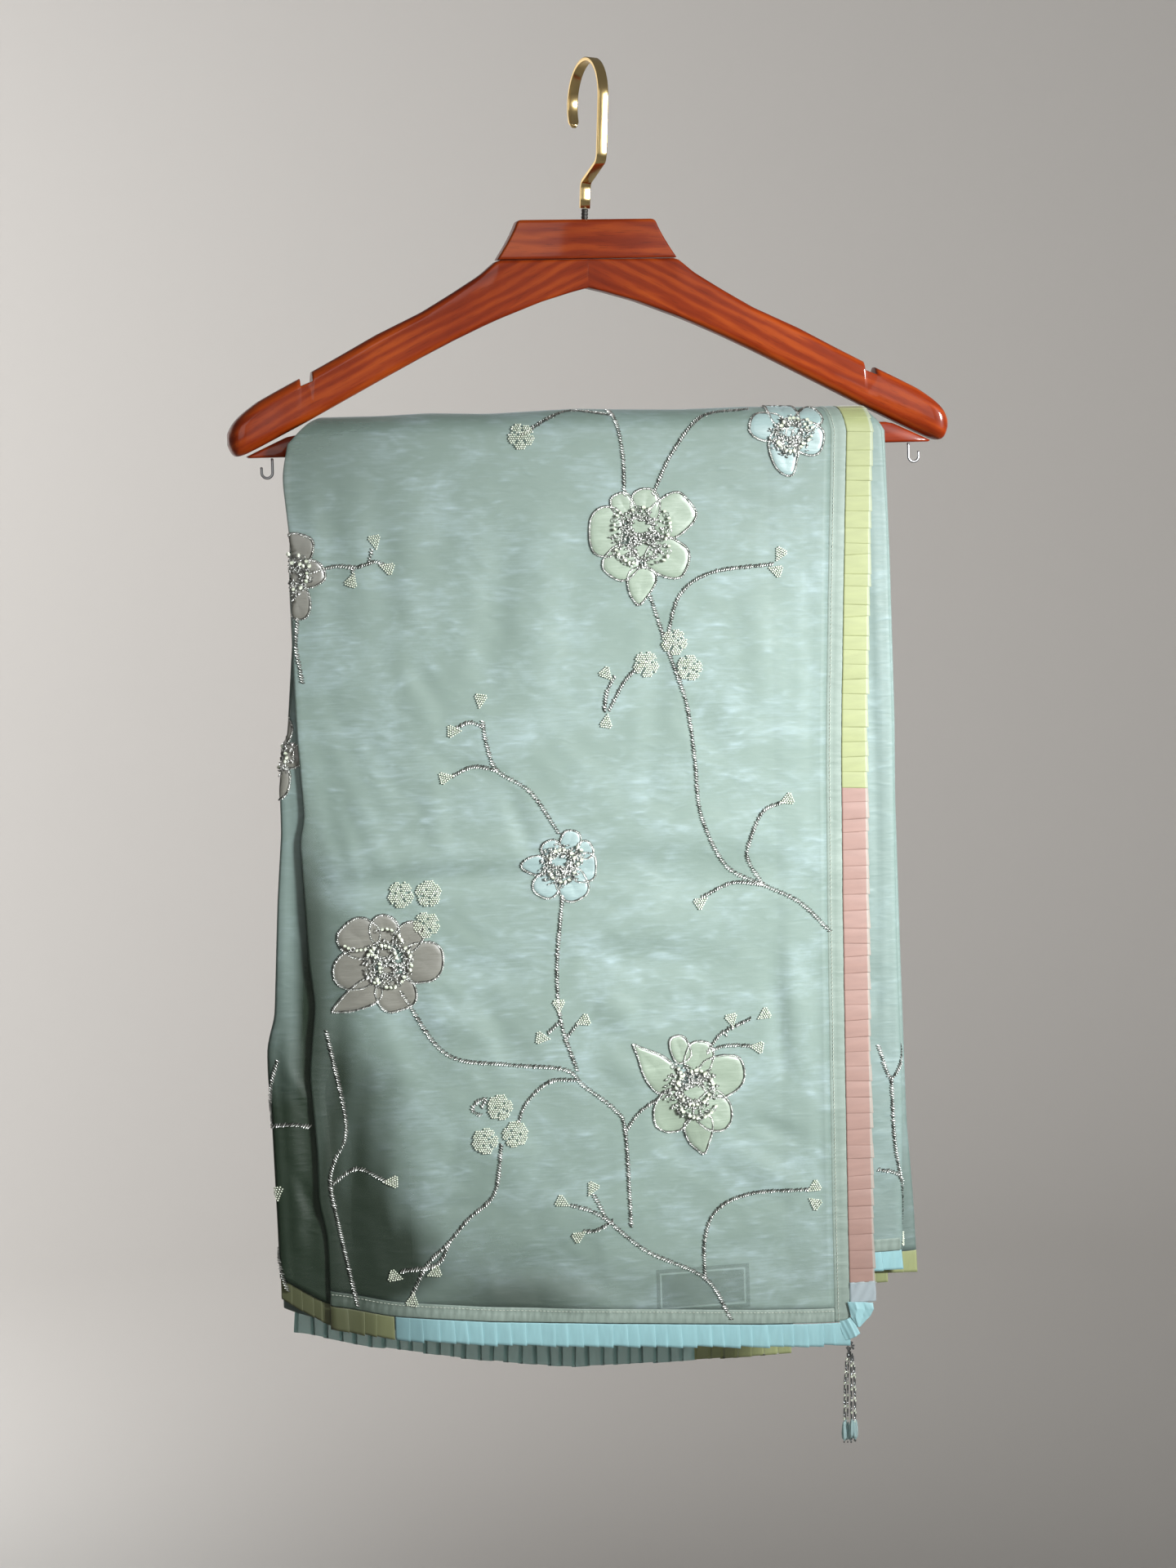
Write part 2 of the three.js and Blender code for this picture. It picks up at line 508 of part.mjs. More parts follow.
// The hidden layers: one solid, stepped where the shown stretches lie on it and layered at both edges
function innerFolds() {
  const face = [];
  const back = [];
  for (const v of COARSE_ROWS) {
    const share = fallShare(v);
    const left = palluLeft(v) + INNER_LEFT.inset;
    const right = nearRight(v) - INNER_RIGHT.inset;
    const depthOf = (step) => mix(step.bar, step.hem, share);
    const swell = mix(0.3, 1, share);
    const section = [
      ...EDGE_LAYERS.map(({ out, height }) => ({ x: left - out * swell, depth: depthOf(INNER_LEFT) * height })),
      { x: PLAIN_ENDS.left, depth: depthOf(INNER_LEFT) },
      { x: INNER_MIDDLE.from, depth: depthOf(INNER_MIDDLE) },
      { x: -60, depth: depthOf(INNER_MIDDLE) }, { x: 20, depth: depthOf(INNER_MIDDLE) },
      { x: INNER_MIDDLE.to, depth: depthOf(INNER_MIDDLE) },
      { x: INNER_RIGHT.from, depth: depthOf(INNER_RIGHT) },
      ...EDGE_LAYERS.map(({ out, height }) => ({ x: right + out * swell, depth: depthOf(INNER_RIGHT) * height }))
        .reverse(),
    ];
    const hems = section.map(({ x }) => {
      const plain = hemAt(x, v) - INNER_HEM.above;
      if (v < 0) return Math.max(plain, INNER_HEM.lowestBack);
      return x < INNER_RIGHT.from ? plain : INNER_HEM.lowestRight;
    });
    face.push(section.map(({ x, depth }, j) => hang(x, v, depth, hems[j])));
    const inner = spread(left + 2, right - 2, section.length - 1);
    back.push(inner.map((x, j) => hang(x, v, 0, hems[j])));
  }
  return wallBetween(face, back);
}
addPiece(saree, 'inner_folds', 'organzaDeep', innerFolds());

// Trim on the outer stretch: a strip between two edges, moved out from the stretch's own surface
function strip(rows, columnsAt, hem, depth) {
  const face = rows.map(({ v, lift }) => columnsAt(v).map((x) => hang(x, v, palluDepth(x, v) + lift, hem(x, v))));
  const back = rows.map(({ v, lift }) => columnsAt(v).map((x) => (
    hang(x, v, palluDepth(x, v) + lift - depth, hem(x, v)))));
  return wallBetween(face, back);
}
const sideEdge = (v) => hemAt(palluEnd(v), v);
addPiece(saree, 'side_seam_band', 'organza', strip(
  FALL_ROWS.map((v) => ({ v, lift: BAND.proud })),
  (v) => [palluEnd(v), palluEnd(v) + BAND.side], (x, v) => sideEdge(v), BAND.depth));

// The pleated ribbon up one side, over the bar and down the other: each pleat stands out at its lower edge
const TURN_LENGTH = Math.PI / 2 * (WRAP.barRadius + PALLU.bar);
function sideRibbon(from, to) {
  const toParameter = (length) => {
    const size = Math.abs(length);
    const fall = WRAP.z - sideEdge(Math.sign(length));
    const v = size < TURN_LENGTH ? TURN * size / TURN_LENGTH : TURN + (1 - TURN) * (size - TURN_LENGTH) / fall;
    return Math.sign(length) * v;
  };
  const pleats = Math.round((to - from) / RIBBON.pleat);
  const size = (to - from) / pleats;
  const rows = [];
  for (let i = 0; i < pleats; i += 1) {
    const start = from + i * size;
    const overTurn = Math.abs(start + size / 2) < TURN_LENGTH ? 0.3 : 1;
    const lifts = start + size / 2 < 0 ? [RIBBON.high, RIBBON.low] : [RIBBON.low, RIBBON.high];
    rows.push({ v: toParameter(start + 0.25), lift: lifts[0] * overTurn });
    rows.push({ v: toParameter(start + size - 0.25), lift: lifts[1] * overTurn });
  }
  const columns = (v) => [palluEnd(v) + BAND.side + RIBBON.clear, palluEnd(v) + BAND.side + RIBBON.width];
  return strip(rows, columns, (x, v) => sideEdge(v), WALL);
}
const lengthTo = (z) => TURN_LENGTH + WRAP.z - z;
const yellowTo = lengthTo(RIBBON.yellowTo);
addPiece(saree, 'side_ribbon_yellow', 'yellow', sideRibbon(-yellowTo, yellowTo));
addPiece(saree, 'side_ribbon_pink_front', 'pink', sideRibbon(yellowTo + SEAM_GAP, lengthTo(RIBBON_END.top)));
addPiece(saree, 'side_ribbon_pink_back', 'pink', sideRibbon(-lengthTo(RIBBON_END.back), -yellowTo - SEAM_GAP));
addPiece(saree, 'side_ribbon_end', 'blueGrey', strip(
  [RIBBON_END.top - SEAM_GAP, RIBBON_END.bottom].map((z) => ({ v: shareOf(z, sideEdge(1)), lift: RIBBON.low })),
  (v) => [palluEnd(v) + BAND.side + RIBBON.clear, palluEnd(v) + BAND.side + RIBBON.width],
  (x, v) => sideEdge(v), WALL));

function cornerFold() {
  const grid = (lift) => CORNER.map(({ left, right, z }) => (
    [left, right].map((x) => hang(x, 1, PALLU.hem + lift, z))));
  return wallBetween(grid(RIBBON.high), grid(RIBBON.high - WALL));
}
addPiece(saree, 'corner_fold', 'blue', cornerFold());

// Hem bands and the knife-pleated ribbon below them
function hemBand(side, from, to) {
  const grid = (lift) => [BAND.hem, 0].map((above) => spread(from, to, 10).map((x) => {
    const hemZ = hemAt(x, side);
    const v = side * shareOf(hemZ + above, hemZ);
    return hang(x, v, palluDepth(x, v) + lift, hemZ);
  }));
  return wallBetween(grid(BAND.proud), grid(BAND.proud - BAND.depth));
}
const frontStart = palluLeft(1) + 1;
const backStart = palluLeft(-1) + 1;
addPiece(saree, 'front_hem_band', 'organza', hemBand(1, frontStart, palluEnd(1) - SEAM_GAP));
addPiece(saree, 'back_hem_band', 'organza', hemBand(-1, backStart, palluEnd(-1) - SEAM_GAP));

function ruffle({ side, from, to, depthAt, hem }) {
  const pleats = Math.max(1, Math.round((to - from) / HEM_PLEAT));
  const edges = spread(from, to, pleats);
  const columns = edges.slice(1).flatMap((end, i) => [
    { x: edges[i] + 0.2, lift: RIBBON.low, longer: 0 }, { x: end - 0.2, lift: RIBBON.high, longer: 0.9 }]);
  const grid = (inset) => [SEAM_GAP, RIBBON.drop].map((down) => columns.map(({ x, lift, longer }) => {
    const low = down > SEAM_GAP;
    const point = hang(x, side, depthAt(x) + (low ? lift * 1.5 : lift) - inset, hem(x));
    point.z -= down + (low ? longer : 0);
    return point;
  }));
  return wallBetween(grid(0), grid(WALL));
}
const onPallu = (side) => (x) => palluDepth(x, side);
const hemOn = (side) => (x) => hemAt(x, side);
const RUFFLES = [
  { name: 'front_ruffle_yellow', finish: 'yellow', side: 1, from: frontStart, to: YELLOW.frontTo },
  { name: 'front_ruffle_blue', finish: 'blue', side: 1, from: YELLOW.frontTo + SEAM_GAP, to: YELLOW.blueTo },
  { name: 'back_ruffle_blue', finish: 'blue', side: -1, from: backStart, to: YELLOW.backFrom },
  { name: 'back_ruffle_yellow', finish: 'yellow', side: -1, from: YELLOW.backFrom + SEAM_GAP, to: YELLOW.backTo },
];
RUFFLES.forEach(({ name, finish, side, from, to }) => {
  addPiece(saree, name, finish, ruffle({ side, from, to, depthAt: onPallu(side), hem: hemOn(side) }));
});
const EDGE_RUFFLES = [
  { name: 'left_fold_ruffle', finish: 'yellow', from: -218.6, to: -183, layer: LEFT, hem: hemOn(1) },
  { name: 'right_near_ruffle', finish: 'blue', from: 148, to: 175, layer: NEAR, hem: () => SIDE_HEM.near.front },
  { name: 'right_far_ruffle', finish: 'yellow', from: 158, to: 186.5, layer: FAR, hem: () => SIDE_HEM.far.front },
];
EDGE_RUFFLES.forEach(({ name, finish, from, to, layer, hem }) => {
  addPiece(saree, name, finish, ruffle({ side: 1, from, to, depthAt: () => layer.hem - 0.4, hem }));
});

function labelPatch() {
  const grid = (lift) => [LABEL.top, LABEL.bottom].map((z) => spread(LABEL.left, LABEL.right, 4).map((x) => {
    const hemZ = hemBandTop(x, 1);
    const v = shareOf(z, hemZ);
    return hang(x, v, palluDepth(x, v) + lift, hemZ);
  }));
  return wallBetween(grid(LABEL.lift), grid(LABEL.lift - LABEL.depth));
}
addPiece(saree, 'label', 'grey', labelPatch());

const tasselProfile = TASSEL_PROFILE.map(({ radius, down }) => new THREE.Vector2(radius, -down)).reverse();
const tassel = addPiece(saree, 'tassel', 'beads', new THREE.LatheGeometry(tasselProfile, 10).rotateX(Math.PI / 2));
tassel.position.set(TASSEL.x, TASSEL.y, TASSEL.top);
tassel.rotation.y = radians(TASSEL.tilt);

export default model;
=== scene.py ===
from math import cos, pi, radians, sin, tau

import bmesh
import bpy
import numpy as np
from mathutils import Matrix, Vector


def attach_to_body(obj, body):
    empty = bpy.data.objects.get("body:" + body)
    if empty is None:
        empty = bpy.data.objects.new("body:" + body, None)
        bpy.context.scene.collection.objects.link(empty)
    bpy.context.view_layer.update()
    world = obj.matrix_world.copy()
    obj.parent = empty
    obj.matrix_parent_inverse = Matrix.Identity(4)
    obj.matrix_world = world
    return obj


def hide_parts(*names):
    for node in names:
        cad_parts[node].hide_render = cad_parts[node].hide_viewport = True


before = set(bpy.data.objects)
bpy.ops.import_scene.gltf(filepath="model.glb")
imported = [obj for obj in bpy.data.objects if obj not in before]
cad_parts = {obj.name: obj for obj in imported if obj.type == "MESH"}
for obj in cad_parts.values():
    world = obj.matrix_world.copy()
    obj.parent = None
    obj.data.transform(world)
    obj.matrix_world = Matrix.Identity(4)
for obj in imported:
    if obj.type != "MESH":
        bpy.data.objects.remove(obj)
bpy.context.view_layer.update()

# ---- The studio ------------------------------------------------------------------------------
# A pale floor that turns up into a round wall. A soft spot on the right lights the cloth, with a weak
# fill in front and a lamp on the wall behind. The camera stands to the left, just above the arms.
MM = 0.001
CAMERA = {"turn": 12, "reach": 2132.3, "height": -252.1, "yaw": -0.189, "pitch": 5.153, "roll": -1.5}
HANGER_X = -4.9
LENS_MM = 78.75
BOWL = {"floor": -1300, "radius": 3400, "bend": 900, "height": 2600}
LIGHTS = [
    # kind, place, what it is aimed at, size, spread in degrees, power and colour
    ("SPOT", (1080, -1230, -20), (100, 0, -480), 420, 35, 300, (0.96, 0.99, 1)),
    ("AREA", (-300, -2300, 300), (0, 0, -480), 1300, 0, 11, (0.97, 0.99, 1)),
    ("AREA", (-1500, 1150, 120), (-1000, 3300, 40), 1100, 0, 67, (1, 0.985, 0.985)),
]
WALL_COLOUR = (0.62, 0.605, 0.58, 1)


def link_or_set(tree, socket, value):
    if isinstance(value, bpy.types.NodeSocket):
        tree.links.new(value, socket)
    else:
        socket.default_value = value


def add_node(tree, kind, inputs=None, **settings):
    node = tree.nodes.new(kind)
    for name, value in settings.items():
        setattr(node, name, value)
    for name, value in (inputs or {}).items():
        link_or_set(tree, node.inputs[name], value)
    return node


def new_material(name, **sockets):
    material = bpy.data.materials.new(name)
    material.use_nodes = True
    tree = material.node_tree
    shader = tree.nodes["Principled BSDF"]
    for socket, value in sockets.items():
        shader.inputs[socket.replace("_", " ")].default_value = value
    return material, tree, shader


def new_mesh(name, points, faces, smooth=True):
    mesh = bpy.data.meshes.new(name)
    mesh.from_pydata((np.asarray(points, float) * MM).tolist(), [], faces)
    mesh.shade_smooth() if smooth else mesh.shade_flat()
    return mesh


def new_mesh_object(name, points, faces, material):
    mesh = new_mesh(name, points, faces)
    mesh.materials.append(material)
    piece = bpy.data.objects.new(name, mesh)
    bpy.context.collection.objects.link(piece)
    return piece


def grid_faces(rows, columns, start=0, closed=False, flip=False):
    across = columns if closed else columns - 1
    faces = []
    for i in range(rows - 1):
        for j in range(across):
            a, b = start + i * columns + j, start + i * columns + (j + 1) % columns
            face = (a, b, b + columns, a + columns)
            faces.append(face[::-1] if flip else face)
    return faces


def studio_bowl():
    turns = 72
    profile = [(0.001, 0)]
    profile += [(r, 0) for r in np.linspace(400, BOWL["radius"] - BOWL["bend"], 6)]
    profile += [(BOWL["radius"] - BOWL["bend"] * (1 - sin(a)), BOWL["bend"] * (1 - cos(a)))
                for a in np.linspace(0.15, pi / 2, 8)]
    profile += [(BOWL["radius"], BOWL["height"])]
    points = [(r * cos(t), r * sin(t), BOWL["floor"] + h)
              for r, h in profile for t in np.linspace(0, tau, turns, endpoint=False)]
    material, _, _ = new_material("pale_studio", Roughness=0.9, Base_Color=WALL_COLOUR)
    bowl = new_mesh_object("studio", points, grid_faces(len(profile), turns, closed=True), material)


def place_camera():
    turn = radians(CAMERA["turn"])
    heading, pitch, roll = turn + radians(CAMERA["yaw"]), radians(CAMERA["pitch"]), radians(CAMERA["roll"])
    forward = Vector((sin(heading) * cos(pitch), cos(heading) * cos(pitch), -sin(pitch)))
    level = Vector((cos(heading), -sin(heading), 0))
    upright = level.cross(forward)
    right = level * cos(roll) + upright * sin(roll)
    up = upright * cos(roll) - level * sin(roll)
    place = Vector((-CAMERA["reach"] * sin(turn) + HANGER_X, -CAMERA["reach"] * cos(turn), CAMERA["height"]))
    data = bpy.data.cameras.new("camera")
    data.lens = LENS_MM
    data.clip_end = 50
    camera = bpy.data.objects.new("camera", data)
    camera.matrix_world = Matrix.Translation(place * MM) @ Matrix((right, up, -forward)).transposed().to_4x4()
    bpy.context.collection.objects.link(camera)
    bpy.context.scene.camera = camera


def place_lights():
    for kind, place, aim, size, spread, watts, colour in LIGHTS:
        data = bpy.data.lights.new("studio_" + kind.lower(), kind)
        data.energy, data.color = watts, colour
        if kind == "SPOT":
            data.shadow_soft_size, data.spot_size, data.spot_blend = size / 2 * MM, radians(spread), 1
        else:
            data.size = size * MM
        light = bpy.data.objects.new(data.name, data)
        light.location = Vector(place) * MM
        light.rotation_euler = (Vector(aim) - Vector(place)).to_track_quat("-Z", "Y").to_euler()
        bpy.context.collection.objects.link(light)
    world = bpy.data.worlds.new("soft_light")
    world.use_nodes = True
    background = world.node_tree.nodes["Background"]
    background.inputs["Color"].default_value = (1, 0.99, 0.97, 1)
    background.inputs["Strength"].default_value = 0.14
    bpy.context.scene.world = world


studio_bowl()
place_camera()
place_lights()
bpy.context.scene.view_settings.view_transform = "Standard"

# ---- Hanger: head and arms -------------------------------------------------------------------
# Two sawn and rounded hardwood arms meet in a mitre below a head block that is glued on. All are
# stained red and lacquered. The arms come forward towards deep rounded tips, each with a notch.
ARM_ROWS = [
    # x, upper, lower, depth, edge
    (0.02, -120.3, -137.8, 13, 1.2), (10, -120.3, -140.2, 13, 1.6), (30, -120.3, -146.1, 13, 2),
    (56.5, -120.3, -156.1, 13.1, 2.5), (67, -129, -160.6, 13.2, 3.2), (85, -140, -168.8, 13.4, 4.2),
    (104, -151, -178.1, 13.7, 5), (133, -164.5, -193, 14.4, 5.6), (155, -176.4, -204.5, 15, 6),
    (177, -188, -216, 16, 6), (194, -196.6, -224.5, 18.5, 6.6), (207, -203.5, -230.9, 21.5, 7.4),
    (216, -210, -235, 23.5, 8), (221, -214.6, -236.4, 22.5, 7.6), (224.3, -218.8, -233.6, 18, 5.6),
    (225.4, -222, -229.6, 11, 3),
]
ARM_SWEEP, TIP_X = 12, 225.5
NOTCH = {"inner": 173.2, "outer": 180.8, "floor_inner": -191.6, "floor_outer": -194.6}
HEAD = {"top": -96.1, "bottom": -119.9, "top_half": 43.3, "bottom_half": 56.5, "depth": 13, "edge": 1.8}


def rounded_ring(half_width, half_height, radius, per_corner=6):
    ring = []
    for sx, sy, start in ((1, 1, 0), (-1, 1, 90), (-1, -1, 180), (1, -1, 270)):
        for turn in np.linspace(0, 90, per_corner):
            angle = radians(start + turn)
            ring.append((sx * (half_width - radius) + radius * cos(angle),
                         sy * (half_height - radius) + radius * sin(angle)))
    return ring


def loft(name, rings, material):
    """A closed solid through rings of equal count, its ends closed by fans."""
    count = len(rings[0])
    points = [p for ring in rings for p in ring]
    faces = grid_faces(len(rings), count, closed=True)
    for start, flip in ((0, True), (len(points) - count, False)):
        middle = np.mean(points[start:start + count], axis=0)
        points.append(tuple(middle))
        for j in range(count):
            a, b = start + j, start + (j + 1) % count
            faces.append((b, a, len(points) - 1) if flip else (a, b, len(points) - 1))
    piece = new_mesh_object(name, points, faces, material)
    recalculate_outside(piece)
    return piece


def recalculate_outside(piece):
    work = bmesh.new()
    work.from_mesh(piece.data)
    bmesh.ops.recalc_face_normals(work, faces=work.faces)
    work.to_mesh(piece.data)
    work.free()


def store_vectors(mesh, name, values):
    layer = mesh.attributes.new(name, "FLOAT_VECTOR", "POINT")
    layer.data.foreach_set("vector", np.asarray(values, float).ravel())


def set_grain(piece, grain):
    """Stores where each point lies in the plank: along the grain, across it and through it, in metres."""
    store_vectors(piece.data, "grain", np.array(grain) * MM)


def finish_piece(piece, slot, *nodes):
    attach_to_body(piece, "root")
    if nodes:
        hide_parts(*nodes)


def attribute(tree, name, output="Vector"):
    return add_node(tree, "ShaderNodeAttribute", attribute_name=name).outputs[output]


def math_node(tree, kind, *values):
    return add_node(tree, "ShaderNodeMath", dict(enumerate(values)), operation=kind).outputs[0]


def mix_colours(tree, share, low, high):
    """A blend of two colours, each a value or a socket."""
    return add_node(tree, "ShaderNodeMix", {"Factor": share, 6: low, 7: high}, data_type="RGBA").outputs[2]


def map_range(tree, value, low, high, to_low=0, to_high=1, **settings):
    return add_node(tree, "ShaderNodeMapRange", {
        "Value": value, "From Min": low, "From Max": high, "To Min": to_low, "To Max": to_high},
        **settings).outputs["Result"]


def stretched(tree, place, scale, turn=0.0):
    return add_node(tree, "ShaderNodeMapping", {
        "Vector": place, "Scale": scale, "Rotation": (0, 0, turn)}).outputs["Vector"]


def noise_node(tree, place, detail, scale=1, roughness=0.5, distortion=0.0, **settings):
    return add_node(tree, "ShaderNodeTexNoise", {
        "Vector": place, "Scale": scale, "Detail": detail, "Roughness": roughness, "Distortion": distortion},
        **settings).outputs["Fac"]


def colour_ramp(tree, value, stops):
    ramp = add_node(tree, "ShaderNodeValToRGB", {"Fac": value})
    elements = ramp.color_ramp.elements
    for k, end in ((0, 0), (1, -1)):
        elements[k].position, elements[k].color = stops[end][0], (*stops[end][1], 1)
    for position, colour in stops[1:-1]:
        elements.new(position).color = (*colour, 1)
    return ramp.outputs["Color"]


def add_bump(tree, shader, height, strength, distance):
    bump = add_node(tree, "ShaderNodeBump", {"Height": height, "Strength": strength, "Distance": distance})
    tree.links.new(bump.outputs["Normal"], shader.inputs["Normal"])


def make_wood():
    material, tree, shader = new_material(
        "red_stained_wood", Roughness=0.4, Coat_Weight=0.35, Coat_Roughness=0.07, Specular_IOR_Level=0.12)
    grain = attribute(tree, "grain")
    bend = noise_node(tree, grain, 2, scale=9)
    streaks = noise_node(tree, stretched(tree, grain, (10, 70, 90)), 6, roughness=0.62, distortion=0.6)
    rings = add_node(tree, "ShaderNodeTexWave", {
        "Vector": stretched(tree, grain, (5, 26, 30)), "Scale": 1.6, "Distortion": 7, "Detail": 3,
        "Detail Scale": 1.3, "Detail Roughness": 0.6}, bands_direction="Y", wave_profile="SIN").outputs["Fac"]
    pores = noise_node(tree, stretched(tree, grain, (90, 1500, 1500)), 2)
    tone = add_node(tree, "ShaderNodeMix", {"Factor": 0.26, "A": streaks, "B": rings}).outputs["Result"]
    stained = colour_ramp(tree, math_node(tree, "MULTIPLY_ADD", tone, bend, 0.5), [
        (0.40, (0.055, 0.005, 0.002)), (0.58, (0.145, 0.013, 0.002)), (0.74, (0.24, 0.027, 0.003)),
        (0.90, (0.38, 0.060, 0.006))])
    fade = math_node(tree, "SUBTRACT", 1, map_range(tree, pores, 0.28, 0.42, 0.72))
    tree.links.new(mix_colours(tree, fade, stained, (0, 0, 0, 1)), shader.inputs["Base Color"])
    add_bump(tree, shader, pores, 0.08, 0.0002)
    return material


def soft_curve(rows, window):
    """The straight lines between the rows as a function, their corners softened over a window."""
    at, value = np.array(rows, float).T
    fine = np.linspace(at[0], at[-1], 1500)
    reach = max(1, int(round(window / (fine[1] - fine[0]) / 2)))
    kernel = np.hanning(2 * reach + 3)[1:-1]
    line = np.interp(fine, at, value)
    before, after = 2 * line[0] - line[reach:0:-1], 2 * line[-1] - line[-2:-reach - 2:-1]
    soft = np.convolve(np.r_[before, line, after], kernel / kernel.sum(), "valid")
    return lambda x: np.interp(x, fine, soft)


def build_arm(name, side, material, seed):
    notch_edges = [0.12, NOTCH["inner"] - 0.05, NOTCH["inner"] + 0.05,
                   NOTCH["outer"] - 0.05, NOTCH["outer"] + 0.05]
    tip = TIP_X - 0.1 - 9 * (1 - np.sin(np.linspace(0, pi / 2, 9)))
    at = np.unique(np.r_[np.linspace(0.02, 215, 76), notch_edges, tip])
    upper, lower, depth, edge = (soft_curve([(row[0], row[k]) for row in ARM_ROWS], 7)(at)
                                 for k in (1, 2, 3, 4))
    rings, grain = [], []
    for x, top, low, deep, round_ in zip(at, upper, lower, depth, edge):
        inside = NOTCH["inner"] < x < NOTCH["outer"]
        share = (x - NOTCH["inner"]) / (NOTCH["outer"] - NOTCH["inner"])
        cut = NOTCH["floor_inner"] + share * (NOTCH["floor_outer"] - NOTCH["floor_inner"])
        middle, half = (top + low) / 2, (top - low) / 2
        back = -ARM_SWEEP * (x / TIP_X) ** 2
        ring = []
        for across, up in rounded_ring(deep / 2, half, min(round_, half * 0.98, deep * 0.49)):
            z = min(middle + up, cut) if inside else middle + up
            ring.append((HANGER_X + side * x, back + across, z))
            grain.append((x * 1.12 + seed, z + x * 0.5, across + seed))
        rings.append(ring)
    arm = loft(name, rings, material)
    grain += [(0.15 + seed, -129, seed), (TIP_X + seed, -113, seed)]
    set_grain(arm, grain)
    return arm


def build_head(material):
    rings, grain = [], []
    for share in (0, 0.02, 0.05, 0.09, 0.2, 0.35, 0.5, 0.65, 0.8, 0.92, 0.985, 1):
        soft = HEAD["edge"] * (1 - (1 - (1 - min(share, 0.09) / 0.09) ** 2) ** 0.5)
        soft += 0.5 if share == 1 else 0
        z = HEAD["top"] + share * (HEAD["bottom"] - HEAD["top"])
        half = HEAD["top_half"] + (HEAD["bottom_half"] - HEAD["top_half"]) * share ** 1.25 - soft
        ring = []
        for across, up in rounded_ring(half, HEAD["depth"] / 2 - soft * 0.8, HEAD["edge"]):
            ring.append((HANGER_X + across, up, z))
            grain.append((across + 330, z * 0.9, up + 60))
        rings.append(ring)
    head = loft("head_block_wood", rings, material)
    set_grain(head, grain + [(330, -86, 60), (330, -108, 60)])
    return head


wood = make_wood()
for node, side, seed in (("left_arm", -1, 0), ("right_arm", 1, 700)):
    finish_piece(build_arm(node + "_wood", side, wood, seed), "wood", node)
finish_piece(build_head(wood), "wood", "head_block")

# ---- Trouser bar -----------------------------------------------------------------------------
# A flat bar of the same stained wood, cut to the slope of the arms and glued under their tips.
BAR = {"y": -11.5, "depth": 10, "top": -224, "bottom": -237, "top_half": 188, "bottom_half": 216.5}


def build_bar(material):
    rings, grain = [], []
    height = BAR["top"] - BAR["bottom"]
    for share in np.r_[-1, np.linspace(-0.985, 0.985, 30), 1]:
        soft = 0.8 if abs(share) == 1 else 0
        ring = []
        for across, up in rounded_ring(BAR["depth"] / 2 - soft, height / 2 - soft, 1.6):
            z = (BAR["top"] + BAR["bottom"]) / 2 + up
            half = np.interp(z, (BAR["bottom"], BAR["top"]), (BAR["bottom_half"], BAR["top_half"]))
            ring.append((HANGER_X + share * half, BAR["y"] + across, z))
            grain.append((share * half + 1400, z * 0.8, across + 90))
        rings.append(ring)
    bar = loft("trouser_bar_wood", rings, material)
    set_grain(bar, grain + [(1200, -184, 90), (1600, -184, 90)])
    return bar


finish_piece(build_bar(wood), "wood", "trouser_bar")

# ---- Hook ------------------------------------------------------------------------------------
# Flat steel strip with rounded edges, bent over the rail and back to the middle, gold plated and
# polished. A dark threaded stem joins it to the head.
STRIP = {"radius": 23.75, "width": 6.5, "depth": 2.5, "swivel": 10, "lean": 3}
JOG = [(-25, -57.5), (-24.86, -59.2), (-24.3, -61), (-23.3, -62.5), (-21.8, -63.4), (-12.5, -67.8),
       (-3.2, -72.1), (-1.6, -73), (-0.6, -74.3), (-0.1, -76), (0, -77.8), (0, -83), (0, -89.2)]
STEM = {"radius": 2.2, "top": -89.6, "bottom": -108, "threads": 9}


def make_metal(name, colour, roughness, streak):
    material, tree, shader = new_material(name, Metallic=1.0, Roughness=roughness, Base_Color=(*colour, 1))
    where = add_node(tree, "ShaderNodeTexCoord").outputs["Object"]
    lines = noise_node(tree, stretched(tree, where, (900, 900, 60)), 3)
    wear = map_range(tree, lines, 0, 1, roughness, roughness + streak)
    tree.links.new(wear, shader.inputs["Roughness"])
    add_bump(tree, shader, lines, 0.06, 0.0001)
    return material


def lean_and_swivel(points):
    turn = Matrix.Rotation(radians(STRIP["lean"]), 3, "Y") @ Matrix.Rotation(radians(STRIP["swivel"]), 3, "Z")
    return [tuple(turn @ Vector(p)) for p in points]


def build_hook(material):
    middle = STRIP["radius"] + STRIP["depth"] / 2
    path = [(-middle * cos(a), -STRIP["radius"] + middle * sin(a))
            for a in np.radians(np.linspace(214, 0, 70))]
    path += [(-25, -30), (-25, -40), (-25, -50)] + JOG
    rings = []
    for i, (y, z) in enumerate(path):
        (y0, z0), (y1, z1) = path[max(i - 1, 0)], path[min(i + 1, len(path) - 1)]
        size = ((y1 - y0) ** 2 + (z1 - z0) ** 2) ** 0.5
        out_y, out_z = -(z1 - z0) / size, (y1 - y0) / size
        width = STRIP["width"] / 2 * (min(1, 0.45 + 0.25 * i) if i < 3 else 1)
        rings.append(lean_and_swivel([(across, y + up * out_y, z + up * out_z) for across, up in
                                      rounded_ring(width, STRIP["depth"] / 2, 0.55, 4)]))
    return loft("hook_strip", rings, material)


def build_stem(material):
    rings = []
    for z in np.linspace(STEM["top"], STEM["bottom"], 4 * STEM["threads"]):
        turns = (z - STEM["top"]) / (STEM["top"] - STEM["bottom"]) * STEM["threads"]
        radius = STEM["radius"] - 0.22 - 0.2 * cos(turns * tau)
        rings.append(lean_and_swivel([(radius * cos(t), radius * sin(t), z)
                                      for t in np.linspace(0, tau, 20, endpoint=False)]))
    return loft("hook_stem_thread", rings, material)


